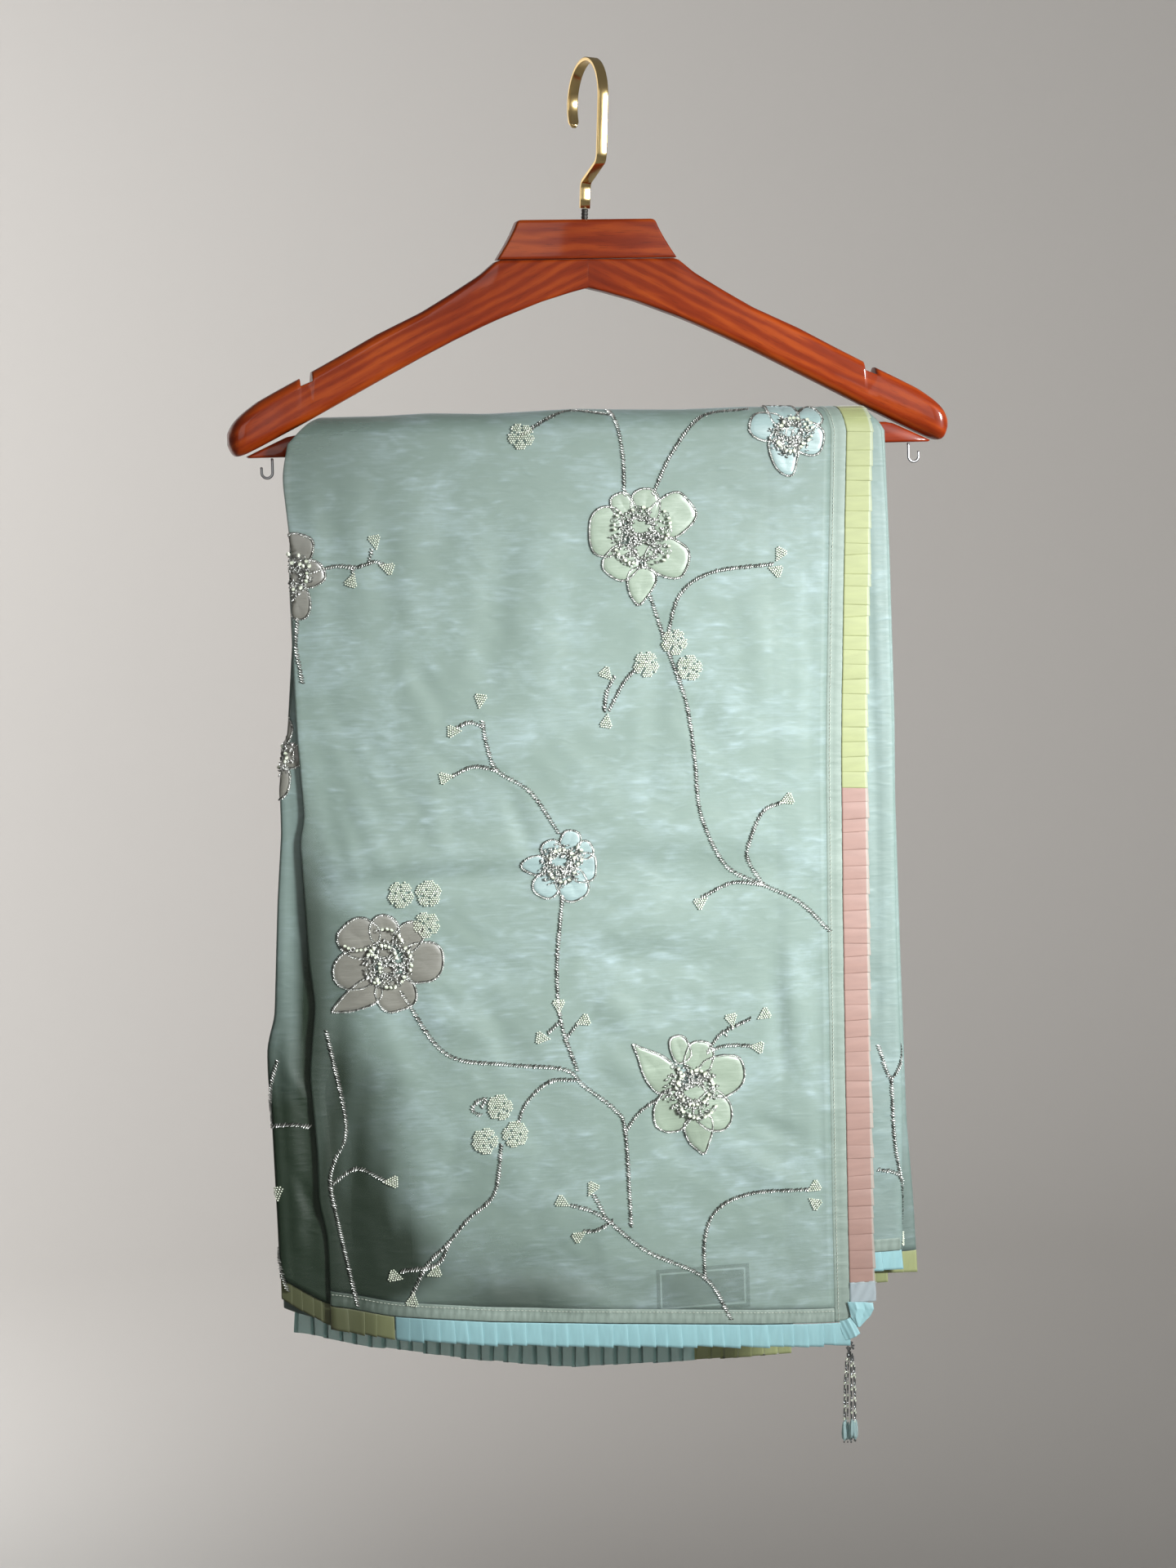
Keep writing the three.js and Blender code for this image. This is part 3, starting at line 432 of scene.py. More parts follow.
gold = make_metal("polished_gold_plate", (0.86, 0.64, 0.30), 0.14, 0.1)
steel = make_metal("plain_steel", (0.46, 0.46, 0.47), 0.28, 0.15)
dark_steel = make_metal("dark_steel", (0.10, 0.095, 0.09), 0.38, 0.15)
finish_piece(build_hook(gold), "brass", "hook")
finish_piece(build_stem(dark_steel), "steel", "hook_stem")

# ---- Screw hooks -----------------------------------------------------------------------------
# Two small open hooks of steel wire, screwed into the underside of the bar outside the cloth.
SCREW = {"wire": 0.85, "top": -237.4, "turn_z": -246, "radius": 3.3, "free_end": -242.6, "y": -12}


def sweep_round(name, path, radius, material, sides=10):
    """A round wire along a path in the plane of the bar's front."""
    rings = []
    for i, point in enumerate(path):
        along = Vector(path[min(i + 1, len(path) - 1)]) - Vector(path[max(i - 1, 0)])
        along.normalize()
        out = Vector((0, 1, 0))
        side = along.cross(out).normalized()
        size = radius * (0.55 if i in (0, len(path) - 1) else 1)
        rings.append([tuple(Vector(point) + (out * cos(t) + side * sin(t)) * size)
                      for t in np.linspace(0, tau, sides, endpoint=False)])
    return loft(name, rings, material)


for node, attach, side in (("screw_hook_left", -204.1, -1), ("screw_hook_right", 196.2, 1)):
    centre = attach + side * SCREW["radius"]
    path = [(attach, SCREW["y"], z) for z in (SCREW["top"], SCREW["top"] - 0.3, -240, -243)]
    path += [(centre - side * SCREW["radius"] * cos(a), SCREW["y"],
              SCREW["turn_z"] - SCREW["radius"] * sin(a))
             for a in np.linspace(0, pi, 16)]
    path += [(centre + side * SCREW["radius"], SCREW["y"], z) for z in (-244, -242.9, SCREW["free_end"])]
    finish_piece(sweep_round(node + "_wire", path, SCREW["wire"], steel), "steel", node)

# ---- Inner folds -----------------------------------------------------------------------------
# The hidden lengths of the saree: sheer silk organza, folded to and fro across the hanger and laid
# over the bar in one stack. It is loose cloth, held only by its weight.
WRAP = {"y": -11.5, "z": -229.5, "bar_radius": 7.6, "hem_radius": 9, "face_depth": 9.8}
TURN = 0.05
TURN_LENGTH = pi / 2 * (WRAP["bar_radius"] + WRAP["face_depth"])
FALL = {"front": 545, "back": 579, "middling": 560}
CREST = [(-175, -1.4), (-137, -1.4), (-108, -0.2), (-72, -1.5), (-16, 0.5), (7, -0.4), (47, -1.4),
         (93, -0.6), (130, -1.6)]
FRONT_HEM = [(-219, -734.5), (-192, -751.2), (-152, -760.4), (-92, -768), (-16, -775), (78, -782.8),
             (114, -785), (137, -785.6)]
BACK_HEM = [(-215, -763), (-201, -769), (-162, -781.5), (-91, -796), (-26, -806.5), (53, -808), (119, -809)]
CLOTH_THICK = 0.45
STACK = {"layers": 9, "left": 10, "right": 14, "above_hem": (3, 17), "lowest_right": -729,
         "lowest_back": -792}
STACK_HEIGHT = [
    # x, round the bar, at the hems
    (-215, 4.2, 12), (-140, 4.2, 12), (-126, 8.0, 21), (94, 8.0, 21), (104, 1.9, 7.2), (190, 1.9, 7.2)]
STACK_OUT = [0, 3, -1, 4, 0.5, 3, -2, 2.5, 0]


def mix(a, b, share):
    return a + (b - a) * share


crest_line, front_hem_line, back_hem_line = (soft_curve(rows, 24) for rows in (CREST, FRONT_HEM, BACK_HEM))


def fall_share(v):
    return np.maximum(0, (np.abs(v) - TURN) / (1 - TURN))


def hem_of(x, v):
    return np.where(v < 0, back_hem_line(x), front_hem_line(x))


def hang(x, v, depth, hem_z):
    """Points of the stack. v runs from -1 at the back hem over 0 on the bar to 1 at the front hem."""
    share = fall_share(v)
    angle = np.minimum(np.abs(v) / TURN, 1) * pi / 2
    radius = mix(WRAP["bar_radius"], WRAP["hem_radius"], share) + depth
    turned = WRAP["z"] + (radius + crest_line(x) * depth / WRAP["face_depth"]) * np.cos(angle)
    z = np.where(share > 0, mix(WRAP["z"], hem_z, share), turned)
    y = WRAP["y"] - np.where(v < 0, -1, 1) * radius * np.sin(angle)
    return np.stack(np.broadcast_arrays(x, y, z), axis=-1)


def rows_of(back, turn, front, end=1.0):
    """Even rows down the back, round the bar and down the front."""
    falls = [np.linspace(TURN, end, count + 1)[1:] for count in (back, front)]
    return np.r_[-falls[0][::-1], np.linspace(-TURN, TURN, turn), falls[1]][:, None]


def edge_line(turn, front, back, window=26):
    """A stretch's edge: its x by the angle round the bar, and by the distance down each fall."""
    lines = soft_curve(turn, 24), soft_curve(front, window), soft_curve(back, window)

    def edge(v):
        down = fall_share(v)
        round_bar = lines[0](np.clip(v / TURN, -1, 1) * 90)
        falls = np.where(v < 0, lines[2](down * FALL["back"]), lines[1](down * FALL["front"]))
        return np.where(down > 0, falls, round_bar)
    return edge


PALLU_LEFT = edge_line(
    [(-90, -190), (-60, -184), (-45, -177), (0, -175), (15, -177), (45, -185), (90, -196.5)],
    [(0, -196.5), (20, -200.5), (70, -196.5), (140, -198), (180, -197.5), (237, -194.5), (249, -198),
     (330, -195.3), (352, -192.3), (400, -197.4), (450, -194.4), (480, -195), (500, -190.5), (545, -189.7)],
    [(0, -190), (90, -194), (190, -192.5), (300, -197), (420, -199), (500, -203), (579, -203.5)])
NEAR_RIGHT = edge_line(
    [(-90, 173), (0, 166), (90, 175)],
    [(0, 175), (56, 176.8), (190, 177.4), (330, 176.4), (440, 177.4), (514, 175.4), (545, 175)],
    [(0, 173), (200, 170), (400, 166), (545, 162), (579, 161)])


def crumple(x, s, seed, sizes=(18, 60), count=30):
    """Uneven soft waves, as handled cloth has: about 1 high at the most."""
    draw = np.random.default_rng(seed)
    warp_x = x + 9 * np.sin(s / 47 + seed) + 5 * np.sin(s / 19 + x / 61 + 2 * seed)
    warp_s = s + 8 * np.sin(x / 39 + 2 * seed) + 4 * np.sin(x / 17 - s / 53 + seed)
    total = 0
    for _ in range(count):
        size = sizes[0] * (sizes[1] / sizes[0]) ** draw.random()
        turn, phase = draw.normal(0.5 * pi, 0.75), draw.random() * tau
        wave = np.sin((warp_x * cos(turn) + warp_s * sin(turn)) * tau / size + phase)
        total = total + size * (wave + 0.5 * np.abs(wave))
    return total / (count ** 0.5 * (sizes[0] + sizes[1]))


def offset_section(x, depth, thickness):
    """The two faces of a sheet along a section line."""
    step_x, step_d = np.gradient(x, axis=1), np.gradient(depth, axis=1)
    size = np.hypot(step_x, step_d) + 1e-9
    half = thickness / 2
    return (x - step_d / size * half, depth + step_x / size * half,
            x + step_d / size * half, depth - step_x / size * half)


def shell(name, face, back, material, across=None, along=None, gap=None):
    """A closed wall between two grids of points. Stores each point's place on the flat cloth, in metres, and
    a painted shade amount that darkens the cloth's colour."""
    rows, columns = face.shape[:2]
    points = np.concatenate((face.reshape(-1, 3), back.reshape(-1, 3)))
    index = np.arange(rows * columns).reshape(rows, columns)
    quads = np.stack((index[:-1, :-1], index[1:, :-1], index[1:, 1:], index[:-1, 1:]), axis=-1).reshape(-1, 4)
    loop = np.r_[index[0], index[1:, -1], index[-1, -2::-1], index[-2:0:-1, 0]]
    after = np.roll(loop, -1)
    rim = np.stack((loop, after, after + index.size, loop + index.size), axis=-1)
    faces = np.concatenate((quads, quads[:, ::-1] + index.size, rim))
    a, b, c, d = (points[faces[:, k]] for k in range(4))
    volume = np.einsum("ij,ij->", np.cross(a, b), c) + np.einsum("ij,ij->", np.cross(a, c), d)
    if volume < 0:
        faces = faces[:, ::-1]
    piece = new_mesh_object(name, points, faces.tolist(), material)
    if across is not None:
        flat = np.stack(np.broadcast_arrays(across, along, 0 * face[..., 0]), axis=-1).reshape(-1, 3)
        store_vectors(piece.data, "cloth", np.concatenate((flat, flat)) * MM)
    # painted shade: a per-point amount by which the cloth's colour is darkened to stand in for shade
    if gap is not None:
        layer = piece.data.attributes.new("gap", "FLOAT", "POINT")
        layer.data.foreach_set("value", np.tile(np.broadcast_to(gap, face.shape[:2]).ravel(), 2))
    return piece


def down_length(v, hem_z):
    """The distance from the bar's top along a fall, negative at the back."""
    down = fall_share(v) * (WRAP["z"] - hem_z)
    return np.sign(v) * (np.minimum(np.abs(v) / TURN, 1) * TURN_LENGTH + down)


def hung_sheet(name, x, depth, v, hem_z, material, gap=None):
    """A sheet with the section line x, depth, hung over the bar, and its place on the flat cloth."""
    face_x, face_d, back_x, back_d = offset_section(x, depth, CLOTH_THICK)
    face, back = hang(face_x, v, face_d, hem_z), hang(back_x, v, back_d, hem_z)
    across = np.cumsum(np.r_["1", 0 * v, np.hypot(np.diff(x, axis=1), np.diff(depth, axis=1))], axis=1)
    return shell(name, face, back, material, across, down_length(v, hem_z), gap)


def stack_section(v):
    """The folded stack's section line: to and fro, each fold rounded, the heights a share of the stack."""
    left, right = PALLU_LEFT(v) + STACK["left"], NEAR_RIGHT(v) - STACK["right"]
    swell = mix(0.3, 1, fall_share(v))
    heights = np.linspace(0.05, 0.97, STACK["layers"])
    step = heights[1] - heights[0]
    shares, positions = [], []
    for k, height in enumerate(heights):
        run = np.linspace(0, 1, 26) if k % 2 == 0 else np.linspace(1, 0, 26)
        for at in run:
            low, high = left - STACK_OUT[k] * swell, right + STACK_OUT[-k] * swell
            positions.append(mix(low, high, at))
            shares.append(height + 0 * v)
        if k < STACK["layers"] - 1:
            side = 1 if k % 2 == 0 else -1
            end = positions[-1]
            for turn in (-0.5, 0, 0.5):
                positions.append(end + side * 1.6 * swell * cos(turn * pi / 2))
                shares.append(height + step / 2 * (1 + sin(turn * pi / 2)) + 0 * v)
    return np.concatenate(positions, axis=1), np.concatenate(shares, axis=1)


def build_stack(material):
    v = rows_of(46, 15, 44)
    x, share_up = stack_section(v)
    height = np.array(STACK_HEIGHT)
    at_bar, at_hem = (np.interp(x, height[:, 0], height[:, k]) for k in (1, 2))
    rough = 0.35 * crumple(x, v * FALL["middling"], 3)
    depth = share_up * mix(at_bar, at_hem, fall_share(v)) + rough * fall_share(v)
    shorter = np.where(v < 0, STACK["above_hem"][1], -STACK["above_hem"][0])
    hem_z = hem_of(x, v) + shorter + 5 * np.sin(share_up * 23) * (share_up > 0.1)
    hem_z = np.where(v < 0, np.maximum(hem_z, STACK["lowest_back"]),
                     np.where(x < 102, hem_z, STACK["lowest_right"] + 3 * np.sin(share_up * 19)))
    return hung_sheet("folded_stack", x, depth, v, hem_z, material)


def make_silk_group():
    """Weft slubs, handling wrinkles and cloudy tone, read from the place on the flat cloth. Shade is painted
    shade: it darkens the cloth towards a near-black green."""
    group = bpy.data.node_groups.new("silk_surface", "ShaderNodeTree")
    for name, kind in (("Cloth", "Vector"), ("Light", "Color"), ("Dark", "Color"), ("Gap", "Color"),
                       ("Shade", "Float"), ("Slubs", "Float"), ("Wrinkles", "Float"), ("Shine", "Float"),
                       ("Dull", "Float")):
        group.interface.new_socket(name=name, in_out="INPUT", socket_type="NodeSocket" + kind)
    for name, kind in (("Colour", "Color"), ("Roughness", "Float"), ("Height", "Float")):
        group.interface.new_socket(name=name, in_out="OUTPUT", socket_type="NodeSocket" + kind)
    given = group.nodes.new("NodeGroupInput").outputs
    put = group.nodes.new("NodeGroupOutput").inputs

    def noise(scale, detail, turn=0.0, **settings):
        way = stretched(group, given["Cloth"], (*scale, 1), turn)
        return noise_node(group, way, detail, roughness=0.62, distortion=0.5, **settings)

    slubs, clouds = noise((70, 900), 4), noise((21, 33), 6, 0.5)
    creases = math_node(group, "ADD", noise((60, 190), 4, 0.55, noise_type="RIDGED_MULTIFRACTAL"),
                        noise((75, 210), 4, -0.75, noise_type="RIDGED_MULTIFRACTAL"))
    tone = math_node(group, "MULTIPLY_ADD", slubs, 0.4,
                     math_node(group, "MULTIPLY_ADD", creases, 0.3, clouds))
    share = map_range(group, tone, 0.6, 1.36, interpolation_type="SMOOTHSTEP")
    colour = mix_colours(group, share, given["Dark"], given["Light"])
    # painted shade: the Shade amount darkens the colour
    depth = math_node(group, "MULTIPLY", given["Shade"], 1.04)
    group.links.new(mix_colours(group, depth, colour, given["Gap"]), put["Colour"])
    group.links.new(map_range(group, slubs, 0.35, 0.65, given["Shine"], given["Dull"]), put["Roughness"])
    weave = math_node(group, "MULTIPLY", slubs, given["Slubs"])
    group.links.new(math_node(group, "MULTIPLY_ADD", creases, given["Wrinkles"], weave), put["Height"])
    return group


def make_silk(name, light, dark, alpha=1.0, wrinkles=0.32, shine=(0.56, 0.68), sheen=0.25):
    material, tree, shader = new_material(name, IOR=1.7, Alpha=alpha, Sheen_Weight=sheen,
                                          Sheen_Roughness=0.45, Sheen_Tint=(0.8, 0.95, 1, 1),
                                          Specular_IOR_Level=0.46)
    # the near-black green below is the colour that the painted shade darkens the cloth towards
    silk = add_node(tree, "ShaderNodeGroup", {
        "Cloth": attribute(tree, "cloth"), "Light": (*light, 1), "Dark": (*dark, 1), "Slubs": 0.12,
        "Gap": (0, 0.0154, 0, 1), "Shade": attribute(tree, "gap", "Fac"), "Wrinkles": wrinkles,
        "Shine": shine[0], "Dull": shine[1]}, node_tree=silk_surface)
    tree.links.new(silk.outputs["Colour"], shader.inputs["Base Color"])
    tree.links.new(silk.outputs["Roughness"], shader.inputs["Roughness"])
    add_bump(tree, shader, silk.outputs["Height"], 1, 0.0008)
    return material


silk_surface = make_silk_group()
deep_silk = make_silk("organza_in_layers", (0.23, 0.295, 0.25), (0.175, 0.23, 0.19))
folded_stack = build_stack(deep_silk)
finish_piece(folded_stack, "organza", "inner_folds")

# ---- Left and right stretches ----------------------------------------------------------------
# Three lengths of the same organza that show beside the outer one. Each comes out from under it,
# turns at a soft fold and goes back in.
LEFT_EDGE = edge_line(
    [(-90, -188), (-60, -182), (-45, -177), (0, -175), (30, -177), (90, -191)],
    [(0, -191), (70, -192), (142, -196), (193, -203.9), (217, -208.2), (249, -208.4), (294, -212.1),
     (371, -216.5), (392, -221.7), (410, -221.9), (438, -220.5), (505, -219.4), (545, -219)],
    [(0, -188), (120, -193), (260, -204), (400, -211), (470, -214), (579, -212)], window=18)
FAR_RIGHT = edge_line(
    [(-90, 176), (0, 168), (90, 177.5)],
    [(0, 177.5), (82, 179), (190, 179.8), (240, 179), (343, 180), (458, 181.6), (496, 184), (517, 185.1),
     (545, 186)],
    [(0, 176), (180, 179), (380, 177), (540, 180), (579, 180.5)])
SIDE_HEM = {"near": (-744.5, -768), "far": (-747, -765)}
SIDE_LAYERS = {
    # outer face and return, round the bar and at the hems; how far the face falls back to its fold
    "left": {"bar": 7.2, "hem": 20.5, "under_bar": 5.9, "under_hem": 12, "turn_in": 30, "fall_back": 5},
    "near": {"bar": 7.2, "hem": 20.5, "under_bar": 5.9, "under_hem": 15.5, "turn_in": 30, "fall_back": 1},
    "far": {"bar": 4.6, "hem": 13.5, "under_bar": 3.3, "under_hem": 9, "turn_in": 30, "fall_back": 1},
}
SIDE_CREASES = {
    # x and distance from the bar's top, from and to; width and height of the trough or ridge
    "left": [(-200, 60, -198, 250, 7, 0.9), (-206, 190, -203, 420, 8, -1.2), (-214, 300, -208, 520, 6, 1.1),
             (-198, 330, -200, 540, 7, -1), (-216, 395, -196, 430, 5, 0.9), (-214, 455, -194, 500, 6, -0.9),
             (-196, 480, -214, 510, 5, 0.7), (-205, -80, -192, -420, 9, 1.2),
             (-196, -200, -204, -560, 8, -1.1)],
    "near": [(168, 40, 171, 260, 6, 0.8), (163, 120, 167, 380, 7, -0.7), (171, 250, 166, 470, 6, 0.8),
             (172, 390, 158, 420, 6, -0.8), (170, 478, 150, 500, 7, 0.9), (160, 440, 176, 462, 5, -0.7),
             (166, -90, 160, -430, 8, 1), (158, -300, 166, -520, 7, -0.9)],
    "far": [(177, 30, 178, 300, 4, 0.5), (179, 330, 182, 520, 5, 0.6), (176, -60, 174, -400, 6, 0.8)],
}


def raise_creases(x, s, rows):
    """The height of soft troughs and ridges along straight lines, each fading at its ends."""
    total = 0 * x * s
    for x0, s0, x1, s1, width, height in rows:
        length = ((x1 - x0) ** 2 + (s1 - s0) ** 2) ** 0.5
        along = ((x - x0) * (x1 - x0) + (s - s0) * (s1 - s0)) / length ** 2
        across = np.abs((x - x0) * (s1 - s0) - (s - s0) * (x1 - x0)) / length / width
        fade = np.clip(np.sin(np.clip(along, 0, 1) * pi), 0, 1) ** 0.7
        total = total + height * fade * np.cos(np.clip(across, 0, 1) * pi / 2) ** 2
    return total


FOLD = {"reach": 34, "calm": 14, "run": (3, 6.5)}


def near_fold(away):
    return np.clip(1 - away / FOLD["reach"], 0, 1) ** 1.5


def fold_section(v, plain, edge, layer, columns, relief):
    """The section line of a stretch that runs flat to a fold and turns back under itself."""
    share = fall_share(v)
    inward = np.sign(plain - edge)
    outer, under = mix(layer["bar"], layer["hem"], share), mix(layer["under_bar"], layer["under_hem"], share)
    run = mix(*FOLD["run"], share)
    back = layer["fall_back"] * share
    flat = np.linspace(0, 1, columns)[None] ** 0.93
    x = mix(plain, edge + inward * run, flat)
    away = np.abs(x - edge)
    depth = (outer - CLOTH_THICK / 2 + relief(x, v) * np.clip(away / FOLD["calm"], 0.25, 1)
             - back * near_fold(away))
    top, low = depth[:, -1:], under - CLOTH_THICK / 2
    turns = np.linspace(75, -75, 6)[None] * pi / 180
    x_round = edge + inward * run * (1 - np.cos(turns))
    d_round = (top + low) / 2 + np.sin(turns) * (top - low) / 2
    x_under = edge + inward * mix(run, layer["turn_in"], np.linspace(0, 1, 6)[None])
    d_under = low + 0 * x_under
    return np.concatenate((x, x_round, x_under), axis=1), np.concatenate((depth, d_round, d_under), axis=1)


def soft_patches(x, s, rows):
    """The sum of soft round patches: x and distance from the bar's top, half-width, half-length, height."""
    total = 0 * x * s
    for x0, s0, wide, long, height in rows:
        reach = np.clip(np.hypot((x - x0) / wide, (s - s0) / long), 0, 1)
        total = total + height * np.cos(reach * pi / 2) ** 2
    return total


def build_stretch(name, section, v, hem_at, material, painted_shade_at):
    x, depth = section
    hem_z = hem_at(x, v)
    # painted shade, from the given patches
    gap = np.clip(painted_shade_at(x, down_length(v, hem_z)), 0, 0.95)
    return hung_sheet(name, x, depth, v, hem_z, material, gap)


def side_hem(which):
    return lambda x, v: np.where(v < 0, SIDE_HEM[which][1], SIDE_HEM[which][0]) + 0 * x


def side_relief(which, seed):
    def relief(x, v):
        s = down_length(v, hem_of(x, v))
        return raise_creases(x, s, SIDE_CREASES[which]) + 0.45 * fall_share(v) * crumple(x, s, seed)
    return relief


side_silk = make_silk("organza_beside", (0.29, 0.385, 0.385), (0.18, 0.25, 0.225), alpha=0.8, sheen=0.06)
SIDE_PAINTED_SHADE = {
    # painted shade: x and distance from the bar's top, half-width, half-length, amount
    "left": [(-194, 370, 13, 150, 0.85), (-210, 480, 200, 190, 1.0), (-210, 560, 200, 200, 0.5),
             (-190, -420, 120, 330, 0.5)],
    "near": [(170, 585, 60, 40, 0.15)], "far": [(180, 520, 60, 160, 0.3)]}
SIDES = [
    # piece, CAD node, layer, inner end, edge line, hem, seed, flat size
    ("left_stretch", "left_fold", "left", -138, LEFT_EDGE, hem_of, 11, (0.098, 1.12)),
    ("right_stretch_near", "right_fold_near", "near", 104, NEAR_RIGHT, side_hem("near"), 12, (0.103, 1.10)),
    ("right_stretch_far", "right_fold_far", "far", 104, FAR_RIGHT, side_hem("far"), 13, (0.108, 1.10)),
]
for name, node, which, plain_end, edge, hem_at, seed, flat in SIDES:
    v = rows_of(110, 17, 130)
    section = fold_section(v, plain_end + 0 * v, edge(v), SIDE_LAYERS[which], 30, side_relief(which, seed))
    stretch = build_stretch(name, section, v, hem_at, side_silk,
                            lambda x, s: soft_patches(x, s, SIDE_PAINTED_SHADE[which]))
    finish_piece(stretch, "organza", node)

# ---- Outer stretch ---------------------------------------------------------------------------
# The pallu, the saree's show end, lies over the rest with its right side out. It is held by nothing
# and has soft creases from folding and handling.
PALLU = {"bar": WRAP["face_depth"], "hem": 28, "under_bar": 8.5, "under_hem": 22, "turn_in": 34,
         "fall_back": 4.5}
PALLU_END = edge_line(
    [(-90, 141.5), (0, 138.2), (90, 141.5)],
    [(0, 141.5), (87, 136.9), (188, 132.2), (290, 130.1), (392, 128.6), (485, 127.4), (556, 127.1)],
    [(0, 141.5), (150, 130), (330, 114), (579, 92.5)], window=60)
BAND = {"side": 10, "hem": 9}
CREASES = [
    # x and distance from the bar's top, from and to; width and height of the trough or ridge
    (-186, 20, -184, 150, 10, 0.66), (-172, 18, -171, 175, 10, -0.54), (-158, 22, -155, 140, 12, 0.66),
    (-142, 24, -140, 190, 13, -0.6), (-122, 22, -126, 165, 15, 0.54), (-100, 20, -104, 120, 14, -0.36),
    (-176, 175, -128, 250, 12, -0.48), (-150, 120, -108, 215, 12, 0.42), (-186, 150, -150, 262, 11, -0.48),
    (-170, 215, -142, 300, 10, 0.48), (-132, 150, -106, 196, 10, -0.42), (-120, 175, -126, 235, 18, 0.54),
    (-192, 215, -176, 292, 9, 0.48), (-186, 232, -168, 298, 8, -0.42), (-178, 244, -160, 300, 8, 0.36),
    (-196, 296, -30, 292, 12, -1.9), (-196, 280, -60, 276, 14, 1.5), (-40, 290, 126, 300, 20, -1.5),
    (-20, 268, 126, 274, 22, 0.9), (20, 308, 80, 302, 16, -1), (-118, 226, -112, 280, 12, 0.84),
    (-112, 224, -70, 232, 10, -1.1), (-72, 236, -56, 282, 10, -1.1), (-30, 348, 70, 352, 18, -1.5),
    (-20, 372, 6, 384, 16, 1.7), (-52, 330, 60, 326, 18, 1.2), (-120, 345, -60, 350, 16, -1.2),
    (-130, 372, -80, 392, 15, 1.4), (-150, 330, -118, 430, 20, -1.6), (-98, 356, -56, 430, 14, -0.9),
    (-110, 455, -60, 470, 26, 2), (-90, 540, -20, 530, 22, -2.6), (-60, 508, 10, 500, 18, 1.4),
    (-150, 492, -80, 495, 8, -0.7), (-60, 556, -10, 558, 12, 1.8), (30, 545, 90, 530, 18, -0.4),
    (60, 470, 112, 500, 14, 1.5), (76, 450, 112, 470, 10, -1.2), (40, 430, 60, 478, 18, 1.2),
    (88, 110, 96, 200, 16, 0.9), (60, 60, 92, 66, 12, -0.9), (40, 190, 74, 230, 16, -0.8),
    (-40, 60, -52, 190, 24, 1.3), (-66, 80, -84, 190, 16, -1.1), (20, 250, 30, 120, 14, -0.8),
    (104, 330, 110, 430, 12, 1), (92, 350, 100, 430, 10, -1), (124, 60, 122, 300, 6, -0.45),
    (124, 320, 120, 560, 7, -0.6), (10, 420, 36, 480, 14, -1), (-14, 404, 10, 428, 12, 1),
    (-150, -40, -146, -220, 14, 1.8), (-120, -60, -126, -260, 12, -1.5), (-90, -40, -84, -200, 16, 1.2),
    (-190, -280, 90, -286, 14, -1.8), (-190, -264, 90, -270, 16, 1.4), (-60, -330, 60, -345, 20, -1.4),
    (0, -60, -20, -240, 24, 1.3), (60, -90, 44, -260, 18, -1.2), (-150, -330, -100, -440, 18, 1.5),
    (-120, -400, -40, -430, 18, -1.4), (-20, -420, 60, -470, 16, 1.4), (40, -340, 70, -430, 14, -1.1),
    (-170, -470, -90, -540, 20, 1.8), (-90, -530, 10, -545, 22, -2), (10, -500, 80, -540, 16, 1.5),
    (-180, -120, -150, -190, 10, 1.3), (90, -150, 70, -240, 12, -1), (-60, -470, -30, -520, 14, 1),
]
BROAD_SWELLS = [
    # x and distance from the bar's top, half-width and half-length, height
    (-190, 470, 74, 190, -5.5), (-20, 430, 110, 120, 2.0), (70, 150, 90, 120, 1.6), (-60, 200, 70, 90, 1.2),
    (-190, 250, 40, 110, -1.6), (-180, -440, 70, 170, -4), (-10, -330, 110, 150, 2.2),
    (70, -160, 60, 90, 1.2),
]
PALLU_PAINTED_SHADE = [
    # painted shade: x and distance from the bar's top, half-width, half-length, amount
    (-160, 545, 150, 110, 0.26), (-90, 548, 90, 45, 0.3), (-30, 554, 150, 34, 0.22),
    (-190, 10, 90, 100, 0.25),
    (-40, 4, 330, 30, 0.25), (-90, 505, 60, 50, 0.1), (-70, 556, 70, 24, 0.28), (100, 40, 150, 130, 0.12),
    (-190, -470, 110, 300, 0.6), (-20, -560, 260, 60, 0.3)]
SHADE_EDGE = [
    # distance from the bar's top, x up to which painted shade darkens the left edge
    (200, -215), (313, -176), (374, -169), (394, -163), (414, -150), (490, -141), (515, -127), (535, -127),
    (555, -157)]


def pallu_painted_shade(x, s):
    """Painted shade on the outer stretch: soft patches, and a slanting part with uneven streaks."""
    slant = np.clip((soft_curve(SHADE_EDGE, 16)(s) + 22 - x) / 48, 0, 1)
    streaks = 1 + 0.06 * np.sin(x / 2.7 + 4 * np.sin(s / 70)) + 0.05 * np.sin(x / 4.9 + s / 31)
    return soft_patches(x, s, PALLU_PAINTED_SHADE) + 0.88 * slant ** 2 * (3 - 2 * slant) * (s > 180) * streaks


def fall_parameter(x, s, hem_at=hem_of):
    """v at a distance s along a stretch from the bar's top."""
    size, fall = np.abs(s), WRAP["z"] - hem_at(x, np.sign(s))
    down = TURN + (1 - TURN) * (size - TURN_LENGTH) / fall
    return np.sign(s) * np.where(size < TURN_LENGTH, TURN * size / TURN_LENGTH, down)


def pallu_relief(x, v):
    s = down_length(v, hem_of(x, v))
    broad = soft_patches(x, s, BROAD_SWELLS)
    fine = 0.28 * crumple(x, s, 21) + 0.16 * crumple(x, s, 22, sizes=(9, 20), count=36)
    settled = np.clip(fall_share(v) * 9, 0.12, 1)
    return np.maximum(broad + raise_creases(x, s, CREASES) + fine, -4.4) * settled


